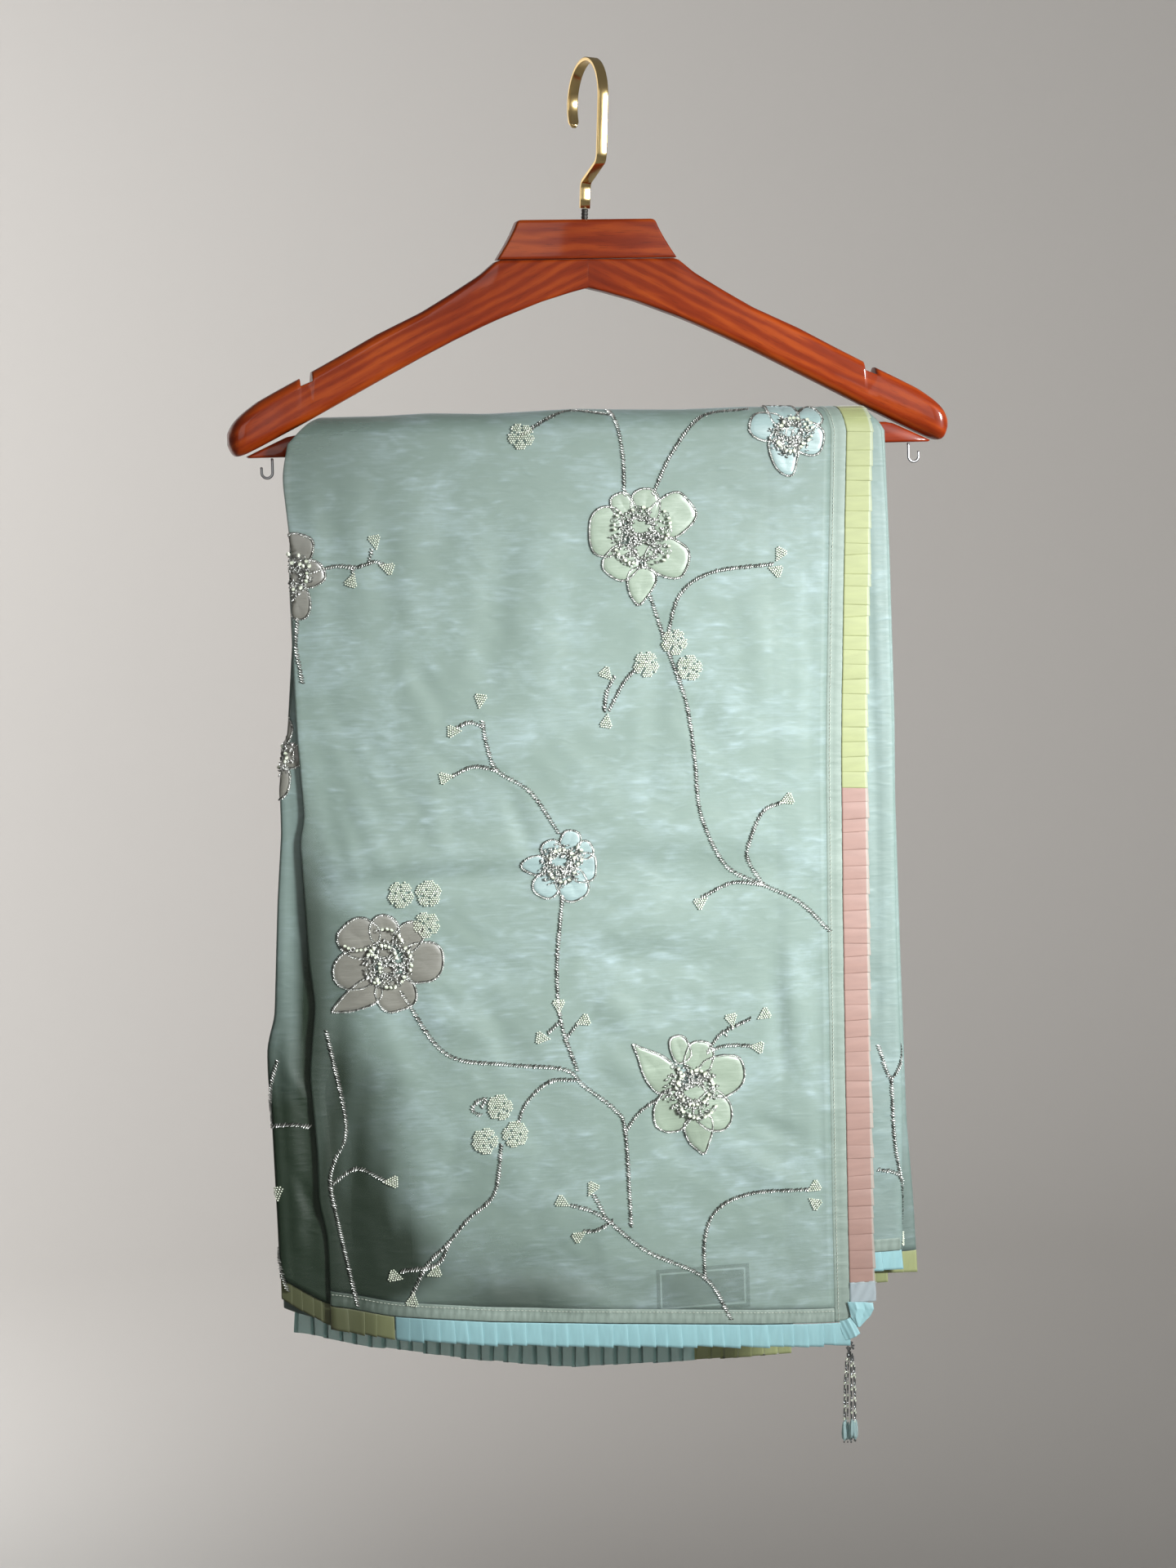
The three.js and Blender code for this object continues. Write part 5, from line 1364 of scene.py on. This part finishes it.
# ---- Embroidery ------------------------------------------------------------------------------
# Hand work on the right side: vines of silver beads couched in a zigzag, satin petals edged with
# silver, fat pearls and small rings at the flowers' hearts, and buds and discs of seed pearls.
DISC_RADIUS = 8
FRONT_VINES = [
    # places as (x, z), joined by one smooth line
    [(3, -213.5), (6, -222), (9, -242), (9, -265)],
    [(91, -214), (60, -218), (40, -240), (27, -265)],
    [(-54, -228), (-45, -222), (-32, -216), (-20, -213.5), (3, -216)],
    [(23, -327), (34, -363), (44, -395), (48, -429), (51, -464), (66, -495), (89, -508), (112, -520),
     (131, -539)],
    [(32, -358), (41, -328), (62, -314), (101, -310)],
    [(19, -367), (6, -378), (-5, -396)],
    [(89, -508), (80, -492), (81, -481), (90, -463), (104, -457)],
    [(89, -508), (70, -506), (50, -514)],
    [(-84, -400), (-82, -414), (-76, -430), (-56, -444), (-39, -470)],
    [(-76, -430), (-90, -427), (-103, -432)],
    [(-84, -403), (-92, -400), (-100, -403)],
    [(-38, -509), (-43, -550), (-42, -585), (-33, -616)],
    [(-42, -585), (-50, -592)],
    [(-40, -597), (-32, -588)],
    [(-140, -562), (-114, -601), (-77, -610), (-41, -615), (-29, -626), (-10, -642), (-4, -656), (-2, -715)],
    [(-4, -656), (6, -644), (20, -636)],
    [(-33, -622), (-50, -622), (-65, -634), (-71, -647)],
    [(-82, -659), (-87, -689), (-104, -704), (-116, -717), (-130, -730), (-140, -748)],
    [(-116, -717), (-124, -730), (-146, -733)],
    [(-18, -709), (7, -731), (44, -751), (60, -778)],
    [(-18, -709), (-28, -703), (-40, -699)],
    [(-18, -709), (-22, -700), (-25, -694)],
    [(-14, -711), (-24, -716), (-32, -716)],
    [(44, -751), (45, -725), (54, -708), (76, -700), (112, -700)],
    [(50, -610), (58, -600), (66, -596), (78, -591)],
    [(50, -610), (60, -607), (70, -607), (78, -608)],
    [(62, -600), (64, -596)],
    [(-186, -584), (-176, -642), (-184, -664), (-187, -677), (-183, -702), (-173, -753)],
    [(-185, -677), (-170, -669), (-154, -677)],
    [(-188, -307), (-170, -303), (-158, -304), (-146, -301), (-140, -304)],
    [(-194, -334), (-195, -352), (-193, -372)],
    [(-160, -304), (-160, -309)],
    [(-150, -301), (-148, -294)],
    [(-93, -635), (-90, -630), (-96, -632), (-99, -637), (-94, -640)],
    [(-1, -376), (-6, -385), (-8, -396)],
]
FRONT_DISCS = [(-54, -228), (37, -356), (46, -372), (19, -369), (-138, -503), (-121, -503), (-123, -522),
               (-82, -636), (-73, -653), (-92, -656)]
FRONT_BUDS = [
    # x, z, the way that the broad side points, in degrees from the right, counter-clockwise
    (-146, -289, 100), (-139, -305, -20), (-161, -312, -110), (106, -304, 60), (103, -314, -20),
    (-6, -374, 130), (-7, -403, -100), (-85, -387, 80), (-102, -405, 180), (-108, -433, 190), (106, -456, 20),
    (49, -517, -150), (-43, -576, 90), (-28, -586, 20), (-54, -595, 170), (66, -591, 100), (87, -589, 30),
    (82, -609, -10), (-150, -678, 0), (-150, -736, 160), (-126, -735, 20), (-140, -751, -100),
    (-26, -690, 60), (-45, -697, 150),
    (-35, -719, -150), (116, -699, 30), (116, -709, -40)]
BACK_VINES = [
    [(-120, -260), (-96, -300), (-92, -352), (-66, -402), (-60, -450)],
    [(-92, -352), (-120, -372), (-138, -396)],
    [(-60, -470), (-34, -530), (-40, -590), (-12, -650), (-6, -722), (20, -778)],
    [(-40, -590), (-84, -610), (-120, -650), (-150, -700)],
    [(-12, -650), (24, -664), (60, -700)],
    [(40, -330), (36, -380), (54, -430), (48, -480)],
    [(36, -380), (6, -398), (0, -420)],
    [(-34, -530), (4, -540), (30, -560)],
    [(-176, -420), (-160, -480), (-170, -540), (-150, -600)],
]
LEFT_VINES = [
    [(-212, -440), (-216, -456), (-218, -470)], [(-222, -641), (-210, -640), (-198, -642)],
    [(-220, -716), (-217, -730), (-214, -742)], [(-216, -601), (-219, -616), (-222, -641)]]
LEFT_BUDS = [(-218, -682, 100)]
NEAR_VINES = [
    [(162, -614), (170, -635), (179, -615)], [(170, -635), (171, -677), (173, -698)],
    [(160, -692), (173, -698), (178, -729)]]
NEAR_BUDS = [(176, -738, -80)]
BACK_DISCS = [(-126, -252), (-110, -246), (-142, -404), (52, -488), (66, -478), (58, -504), (-156, -708),
              (36, -566)]
BACK_BUDS = [(0, -428, -90), (68, -706, -40), (-172, -412, 100), (-148, -608, -70), (24, -786, -60),
             (-70, -300, 40), (-20, -620, 20), (-100, -680, -60), (16, -352, 110)]
# Petals: away from the flower's middle to the right and up, length, width, the way the tip points, sharpness
FLOWERS = [
    # x, z, side, silk, petals, ovals, arcs of pearls (middle, radius, from, to), size of the beaded heart
    (17.5, -292, "front", "light", [
        (21.5, 14, 23, 20, 38, 0.15), (17.5, -12, 22, 19, -32, 0.15), (-0.5, -29, 19, 16, -100, 0.75),
        (-12, -14.5, 17, 16, -130, 0.1), (-21, 5, 17, 22, 172, 0.1), (-9.5, 20, 14, 11, 120, 0.1),
        (4.5, 20.5, 16, 14, 80, 0.1)], [(1.2, 7, 13, 9, 0), (2.6, -6.4, 12, 8, 20)],
     [(6, 8, 13, -40, 40), (8, -6, 10, -50, 5), (-3, -2, 13, 200, 262), (-5, 8, 11, 130, 190),
      (2, 6, 13, 70, 118)], 15),
    (38.5, -633, "front", "light", [
        (-22.6, 15.7, 31, 17, 131, 0.85), (-6, 26, 14, 9.5, 104, 0.1), (6, 20, 17, 13, 70, 0.1),
        (21, 8, 24, 21, 24, 0.35), (14, -14, 21, 17, -45, 0.2), (4.6, -27.5, 20, 16, -80, 0.7),
        (-12, -12.5, 21, 18, -125, 0.15)], [(3.5, -1.7, 19, 9.5, 8)],
     [(2, 1, 10, 205, 335), (4, -4, 13, 212, 330), (0, -2, 15, 20, 75), (2, 0, 12, 85, 165),
      (-14, 9, 8, -60, 60)], 14),
    (-147.5, -544, "front", "smoke", [
        (21.5, -0.5, 20, 19, 0, 0.05), (-17, 16.5, 19, 18, 138, 0.1), (-1.5, 20, 15, 13, 95, 0.1),
        (13.5, 15.5, 16, 12, 50, 0.1), (-20.5, -3, 20, 18, 184, 0.15), (-19.5, -20.5, 27, 15, 208, 0.8),
        (4.5, -19, 18, 18, -75, 0.1)], [(-1, 6.5, 9, 6, -20), (0, -4, 8, 5, 10)],
     [(-18, 22, 13, 232, 300), (-16, -3, 11, -50, 55), (-4, 2, 9, 10, 170), (0, 0, 14, -20, 40),
      (1, -6, 9, 200, 340), (-2, 10, 11, 20, 110)], 13),
    (-39, -490, "front", "aqua", [
        (-16.5, 1, 13, 11, 178, 0.7), (-9, -12, 12, 12, -130, 0.15), (7.5, -12.5, 15, 15, -62, 0.05),
        (15.5, -2, 12, 14, -8, 0.1), (16, 9, 8, 8, 30, 0.1), (7, 14.5, 11, 10, 66, 0.1),
        (-5, 10.5, 9, 9, 120, 0.1)],
     [(0, 3, 11, 7, 0)], [(1, 2, 8, 20, 160), (1, -2, 8, 200, 340), (8, 6, 6, -60, 60)], 11),
    (115, -232, "front", "aqua", [
        (-14, 6.5, 19, 13, 172, 0.15), (-4, -10, 24, 16, -80, 0.55), (11.5, -1, 17, 16, -20, 0.15),
        (13, 11, 14, 11, 40, 0.1), (-3, 16, 16, 14, 100, 0.1)], [(0, 3, 12, 8, 0)],
     [(2, 2, 9, 20, 150), (0, 0, 9, 200, 330), (6, 4, 8, -50, 50)], 11),
    (-60, -462, "back", "light", [
        (19, 8, 22, 19, 24, 0.1), (12, -16, 21, 18, -50, 0.2), (-10, -17, 20, 16, -118, 0.6),
        (-20, 2, 20, 19, 176, 0.1), (-9, 18, 17, 14, 116, 0.1), (8, 20, 16, 13, 66, 0.1)], [(0, 2, 14, 9, 0)],
     [(2, 2, 10, 20, 160), (0, -2, 12, 200, 340), (8, 0, 10, -50, 50)], 14),
    (40, -312, "back", "aqua", [
        (13, 5, 15, 13, 20, 0.1), (8, -11, 15, 13, -52, 0.4), (-8, -11, 14, 13, -125, 0.1),
        (-13, 4, 14, 13, 165, 0.1), (0, 14, 15, 13, 90, 0.1)], [(0, 0, 10, 7, 0)], [(0, 0, 8, 0, 150),
        (0, 0, 8, 200, 330)], 10),
    (-84, -640, "back", "smoke", [
        (18, 6, 19, 17, 18, 0.1), (10, -15, 20, 16, -58, 0.5), (-11, -13, 17, 16, -130, 0.1),
        (-18, 4, 18, 16, 168, 0.1), (-4, 18, 17, 14, 104, 0.1)], [(0, 1, 11, 7, 10)],
     [(0, 0, 9, 20, 160), (0, 0, 11, 200, 330)], 12),
    (-197, -308, "front", "smoke", [
        (4, 15, 17, 14, 60, 0.1), (10, 1, 17, 13, 0, 0.3), (3, -16, 18, 13, -75, 0.5),
        (-9, 8, 18, 15, 150, 0.1),
        (-8, -10, 17, 15, 215, 0.1)], [(1, 0, 9, 6, 0)], [(1, 0, 8, -80, 80), (0, 2, 11, 20, 100)], 10),
    (-210, -416, "left", "smoke", [
        (2, 15, 17, 13, 70, 0.1), (7, 0, 16, 12, 0, 0.2), (1, -16, 18, 12, -85, 0.5),
        (-8, 0, 17, 14, 180, 0.1)],
     [(0, 0, 8, 6, 0)], [(0, 0, 8, -80, 80), (0, 0, 10, 100, 250)], 10),
]
PETAL_SILKS = {"light": (0.33, 0.41, 0.315), "smoke": (0.24, 0.235, 0.20), "aqua": (0.34, 0.46, 0.45)}


def smooth_path(places, step):
    """A smooth line through a few places, its points a step apart."""
    points = np.array(places, float)
    ends = np.concatenate((2 * points[:1] - points[1:2], points, 2 * points[-1:] - points[-2:-1]))
    t = np.linspace(0, 1, 24, endpoint=False)[:, None]
    line = [0.5 * (2 * b + (c - a) * t + (2 * a - 5 * b + 4 * c - d) * t ** 2
                   + (3 * b - a - 3 * c + d) * t ** 3)
            for a, b, c, d in zip(ends, ends[1:], ends[2:], ends[3:])]
    line = np.concatenate(line + [points[-1:]])
    length = np.r_[0, np.cumsum(np.linalg.norm(np.diff(line, axis=0), axis=1))]
    at = np.linspace(0, length[-1], max(2, int(length[-1] / step) + 1))
    return np.stack([np.interp(at, length, line[:, k]) for k in (0, 1)], axis=1)


def surface_length(z, back):
    """The distance from the bar's top to a height on the outer stretch."""
    radius = WRAP["bar_radius"] + PALLU["bar"]
    turn = np.arccos(np.clip((np.asarray(z, float) - WRAP["z"]) / radius, 0, 1)) * radius
    length = np.where(z > WRAP["z"], turn, TURN_LENGTH + WRAP["z"] - z)
    return -length if back else length


def lay(x, z, lift, side):
    """Points of embroidery on a stretch, from their place and height."""
    return on_stretch(x, surface_length(z, side == "back"), lift, SHEETS[side])


def facing(x, z, side):
    return outward_at(lambda a, b: on_stretch(a, b, 0.0, SHEETS[side]), x, surface_length(z, side == "back"))


PETAL_FULLNESS = {"length": 1.22, "width": 1.36}


def petal_outline(row, count=48):
    right, up, length, width, turn, tip = row
    angle = np.linspace(0, tau, count, endpoint=False)
    c, s = np.cos(angle), np.sin(angle)
    length, width = PETAL_FULLNESS["length"] * length, PETAL_FULLNESS["width"] * width
    along = length / 2 * np.sign(c) * np.abs(c) ** (0.7 + 0.3 * tip) * (1 + 0.05 * np.cos(3 * angle + length))
    narrow = 1 - tip * np.clip(0.5 + 0.5 * c, 0, 1) ** 1.6
    across = width / 2 * np.sign(s) * np.abs(s) ** 0.75 * narrow * (1 + 0.06 * np.sin(2 * angle + width))
    t = radians(turn)
    return np.stack((right + along * cos(t) - across * sin(t), up + along * sin(t) + across * cos(t)), axis=1)


def add_petal(store, x, z, side, row, seed):
    """One satin petal, a little domed, its rim down on the cloth."""
    outline = petal_outline(row)
    middle = outline.mean(axis=0)
    rings = np.array((0.0, 0.25, 0.5, 0.72, 0.88, 1.0))[:, None, None]
    flat = middle + rings * (outline - middle)
    t = radians(row[4])
    away = (flat - middle) @ np.array((-sin(t), cos(t)))
    lift = 0.25 + 0.35 * (1 - rings[..., 0] ** 6)
    lift = lift - 0.16 * np.exp(-(away / (0.13 * row[3]) - 0.6 * sin(seed)) ** 2) * (1 - rings[..., 0] ** 2)
    lift[-1] = -0.1
    points = lay(x + flat[..., 0], z + flat[..., 1], lift, side).reshape(-1, 3)
    start = sum(len(p) for p, _, _ in store)
    faces = grid_faces(6, len(outline), start, closed=True, flip=side == "back")
    store.append((points, faces, flat.reshape(-1, 2)))
    return outline


def pearl_disc(x, z, seed):
    """Seed pearls packed in five lobes, parted by slits that run in from the rim."""
    start, places = np.random.default_rng(seed).random() * tau, []
    for i in range(-7, 8):
        for j in range(-7, 8):
            px, pz = (i + 0.5 * (j % 2)) * 1.4, j * 1.22
            far, turn = np.hypot(px, pz), (np.arctan2(pz, px) - start) * 5 / 2
            lobe = abs(cos(turn))
            if far < DISC_RADIUS * (0.8 + 0.24 * lobe ** 0.6) and (far < 2 or far * lobe > 0.75):
                places.append((x + px, z + pz, 0.5 + 1.1 * max(0, 1 - (far / DISC_RADIUS) ** 2) ** 0.5))
    return places


def pearl_bud(x, z, turn):
    """A triangle of seed pearls, its point towards the stem."""
    t, places = radians(turn), []
    for row in range(7):
        for k in range(row + 1):
            along, across = (row - 3.4) * 1.3, (k - row / 2) * 1.36
            if row < 6 or 0 < k < 6:
                places.append((x + along * cos(t) - across * sin(t),
                               z + along * sin(t) + across * cos(t), 0.7))
    return places


def heart_beads(flower, seed):
    """Small silver beads crowded round a flower's ovals, thinner towards the petals' tips."""
    x, z, _, _, _, ovals, _, size = flower
    draw = np.random.default_rng(seed)
    places = []
    while len(places) < size * 26:
        px, pz = draw.normal(0, size * 0.62), draw.normal(0, size * 0.62)
        on_oval = any(np.hypot((px - o[0]) / o[2], (pz - o[1]) / o[3]) < 0.42 for o in ovals)
        if np.hypot(px, pz) <= size * 1.25 and not on_oval:
            places.append((x + px, z + pz, 1.1 + draw.random() * 0.9))
    return places


def points_on(places, side):
    x, z, high = np.array(places).T
    return lay(x, z, high, side), facing(x, z, side)


def lines_on(paths, side, lift):
    lines = [lay(path[:, 0], path[:, 1], lift, side) for path in paths]
    return lines, [facing(path[:, 0], path[:, 1], side) for path in paths]


silver, tree, shader = new_material("silver_beads", Metallic=0.78, Roughness=0.26)
tone = attribute(tree, "tone", "Fac")
tones = colour_ramp(tree, tone, [(0, (0.17, 0.175, 0.16)), (0.5, (0.47, 0.48, 0.45)), (1, (0.9, 0.9, 0.87))])
tree.links.new(tones, shader.inputs["Base Color"])
pearl, tree, shader = new_material("seed_pearls", Roughness=0.28, Coat_Weight=0.4, Coat_Roughness=0.15)
tones = mix_colours(tree, attribute(tree, "tone", "Fac"), (0.54, 0.60, 0.46, 1), (0.80, 0.83, 0.70, 1))
tree.links.new(tones, shader.inputs["Base Color"])

cut_bead = barrel("cut_bead", 2.9, 1.05, 5)
edge_bead = barrel("edge_bead", 1.8, 1.0, 5)
seed_pearl = barrel("seed_pearl", 1.0, 1.22, 6, 0.5)
fat_pearl = barrel("fat_pearl", 2.1, 2.5, 8, 0.5)
ring_points = [((1.25 + 0.32 * cos(b)) * cos(a), (1.25 + 0.32 * cos(b)) * sin(a), 0.32 * sin(b))
               for a in np.linspace(0, tau, 9, endpoint=False)
               for b in np.linspace(0, tau, 4, endpoint=False)]
ring_faces = [(4 * i + j, 4 * i + (j + 1) % 4, 4 * ((i + 1) % 9) + (j + 1) % 4, 4 * ((i + 1) % 9) + j)
              for i in range(9) for j in range(4)]
small_ring = make_template("small_ring", ring_points, ring_faces)
recalculate_outside(small_ring)

embroidery = []
for side, vines, discs, buds in (("front", FRONT_VINES, FRONT_DISCS, FRONT_BUDS),
                                 ("back", BACK_VINES, BACK_DISCS, BACK_BUDS),
                                 ("left", LEFT_VINES, [], LEFT_BUDS), ("near", NEAR_VINES, [], NEAR_BUDS)):
    paths = [smooth_path(vine, 2) for vine in vines]
    lines, out = lines_on(paths, side, 0.5)
    embroidery.append(sew_on("vines_" + side, sew_along_line, cut_bead, silver, lines=lines, out=out,
                             Step=1.55 * MM, Lean=0.95, Zigzag=0.1, Size_Spread=0.14, Turn_Spread=0.2,
                             Seed=3))
    seed_places = [p for k, disc in enumerate(discs) for p in pearl_disc(*disc, 60 + k)]
    seed_places += [p for bud in buds for p in pearl_bud(*bud)]
    places, out = points_on(seed_places, side)
    embroidery.append(sew_on("seed_pearls_" + side, sew_at_points, seed_pearl, pearl, points=places,
                             along=np.tile((1.0, 0, 0), (len(places), 1)), out=out, Size_Spread=0.08,
                             Turn_Spread=1.5, Seed=5))
    edges, satin, pearls, rings, crowd = [], {}, [], [], []
    for k, flower in enumerate(row for row in FLOWERS if row[2] == side):
        x, z, _, silk, petals, ovals, arcs, _ = flower
        for n, row in enumerate(petals + [(*oval, 0.0) for oval in ovals]):
            outline = add_petal(satin.setdefault(silk, []), x, z, side, row, k * 7 + n)
            edges.append(np.concatenate((outline, outline[:1])) + (x, z))
        for mx, mz, radius, low, high in arcs:
            count = max(3, int(radius * radians(high - low) / 2.2))
            for j, angle in enumerate(np.radians(np.linspace(low, high, count))):
                kind = rings if j % 4 == 2 else pearls
                kind.append((x + mx + radius * cos(angle), z + mz + radius * sin(angle), 2.3))
        crowd += heart_beads(flower, 80 + k)
    if not edges:
        continue
    lines, out = lines_on(edges, side, 0.6)
    embroidery.append(sew_on("petal_edges_" + side, sew_along_line, edge_bead, silver, lines=lines, out=out,
                             Step=1.25 * MM, Size_Spread=0.14, Turn_Spread=0.2, Lean=0.8, Zigzag=0.1, Seed=9))
    for name, places, shape, material, seed in (
            ("fat_pearls_", pearls, fat_pearl, pearl, 12), ("small_rings_", rings, small_ring, silver, 13),
            ("heart_beads_", crowd, edge_bead, silver, 14)):
        at, out = points_on(places, side)
        embroidery.append(sew_on(name + side, sew_at_points, shape, material, points=at,
                                 along=np.tile((0.8, 0, 0.6), (len(at), 1)), out=out, Size_Spread=0.15,
                                 Turn_Spread=1.57, Seed=seed))
    for silk, store in satin.items():
        material = make_silk(f"satin_petals_{silk}_{side}", PETAL_SILKS[silk],
                             tuple(c * 0.72 for c in PETAL_SILKS[silk]), wrinkles=0.15, shine=(0.3, 0.4))
        petals = new_mesh_object(f"petals_{silk}_{side}", np.concatenate([p for p, _, _ in store]),
                                 [face for _, faces, _ in store for face in faces], material)
        flat = np.concatenate([np.c_[f, 0 * f[:, 0]] for _, _, f in store])
        store_vectors(petals.data, "cloth", flat * MM)
        embroidery.append(petals)
for piece in embroidery:
    finish_piece(piece, "organza" if piece.name.startswith("petals") else "beads")

# ---- Tassel ----------------------------------------------------------------------------------
# Seven strings of long dark beads and small pearls, gathered in a knot of beads at the corner. Each
# string ends in a pale glass drop and a tiny dark bead.
TASSEL = {"x": 136.9, "y": -46.5, "top": -799, "lean": 0.02, "length": 52, "pitch": 7.5}
STRINGS = [
    # how far each string hangs to the right and forward of the knot, and how much lower it ends
    (-3.9, 0.4, 0), (-2.6, -1.6, -2.6), (-0.8, -2.4, 1.2), (0.5, 2.0, -3.4), (1.2, -1.4, 2.4),
    (3.7, -0.4, -1), (2.5, 1.8, -2)]
bugle_glass, _, _ = new_material("dark_glass", Roughness=0.12, Metallic=0.75,
                                 Base_Color=(0.26, 0.27, 0.27, 1))
drop_glass, _, _ = new_material("pale_glass", Roughness=0.08, IOR=1.5, Transmission_Weight=0.45,
                                Base_Color=(0.55, 0.74, 0.74, 1))
bugle = barrel("bugle", 5.0, 1.05, 6, 0.9)
tassel_pearl = barrel("tassel_pearl", 1.5, 1.6, 8, 0.5)
drop_rings = ((0, 0.5), (2, 1.1), (7, 1.8), (10.4, 1.6), (12, 0.5))
drop_points = [(d - 6, r * cos(t), r * sin(t))
               for d, r in drop_rings for t in np.linspace(0, tau, 6, endpoint=False)]
drop_faces = [face[::-1] for face in grid_faces(5, 6, closed=True)] + [tuple(range(6)), tuple(range(24, 30))]
drop = make_template("glass_drop", drop_points, drop_faces, smooth=False)
recalculate_outside(drop)
tiny = barrel("tiny_bead", 1.3, 1.3, 6, 0.5)
bugles, pearls, drops, tinies = [], [], [], []
down = np.array((-TASSEL["lean"], 0, -1.0))
for k, (right, forward, longer) in enumerate(STRINGS):
    knot = np.array((TASSEL["x"], TASSEL["y"], TASSEL["top"] - 5))
    beside = np.array((right, -forward, 0))
    at = [knot + down * length + beside * (1 - 0.85 * 2.7 ** (-length / 9)) for length in range(70)]
    for j in range(6):
        start = 4.5 + j * TASSEL["pitch"] + (k * 2.9) % 5 - 2
        bugles.append((at[int(round(start))], k))
        pearls.append((at[int(round(start + TASSEL["pitch"] / 2))], k))
    low = int(round(TASSEL["length"] + longer * 0.5))
    drops.append((at[low], k))
    tinies.append((at[low + 7], k))
for k in range(18):
    angle, wide = tau * k / 9, 1.5 + k // 9
    tinies.append((np.array((TASSEL["x"] + wide * cos(angle), TASSEL["y"] + wide * 0.5 * sin(3 * angle),
                             TASSEL["top"] - 2.8 + wide * sin(angle))), 0))
TASSEL_PARTS = [("tassel_bugles", bugles, bugle, bugle_glass), ("tassel_pearls", pearls, tassel_pearl, pearl),
                ("tassel_drops", drops, drop, drop_glass), ("tassel_small_beads", tinies, tiny, bugle_glass)]
for name, places, shape, material in TASSEL_PARTS:
    piece = sew_on(name, sew_at_points, shape, material, points=[p for p, _ in places],
                   along=np.tile(down, (len(places), 1)), out=np.tile((0.0, -1.0, 0.0), (len(places), 1)),
                   Size_Spread=0.06, Turn_Spread=0.08, Seed=21)
    finish_piece(piece, "beads", *(["tassel"] if name == "tassel_bugles" else []))
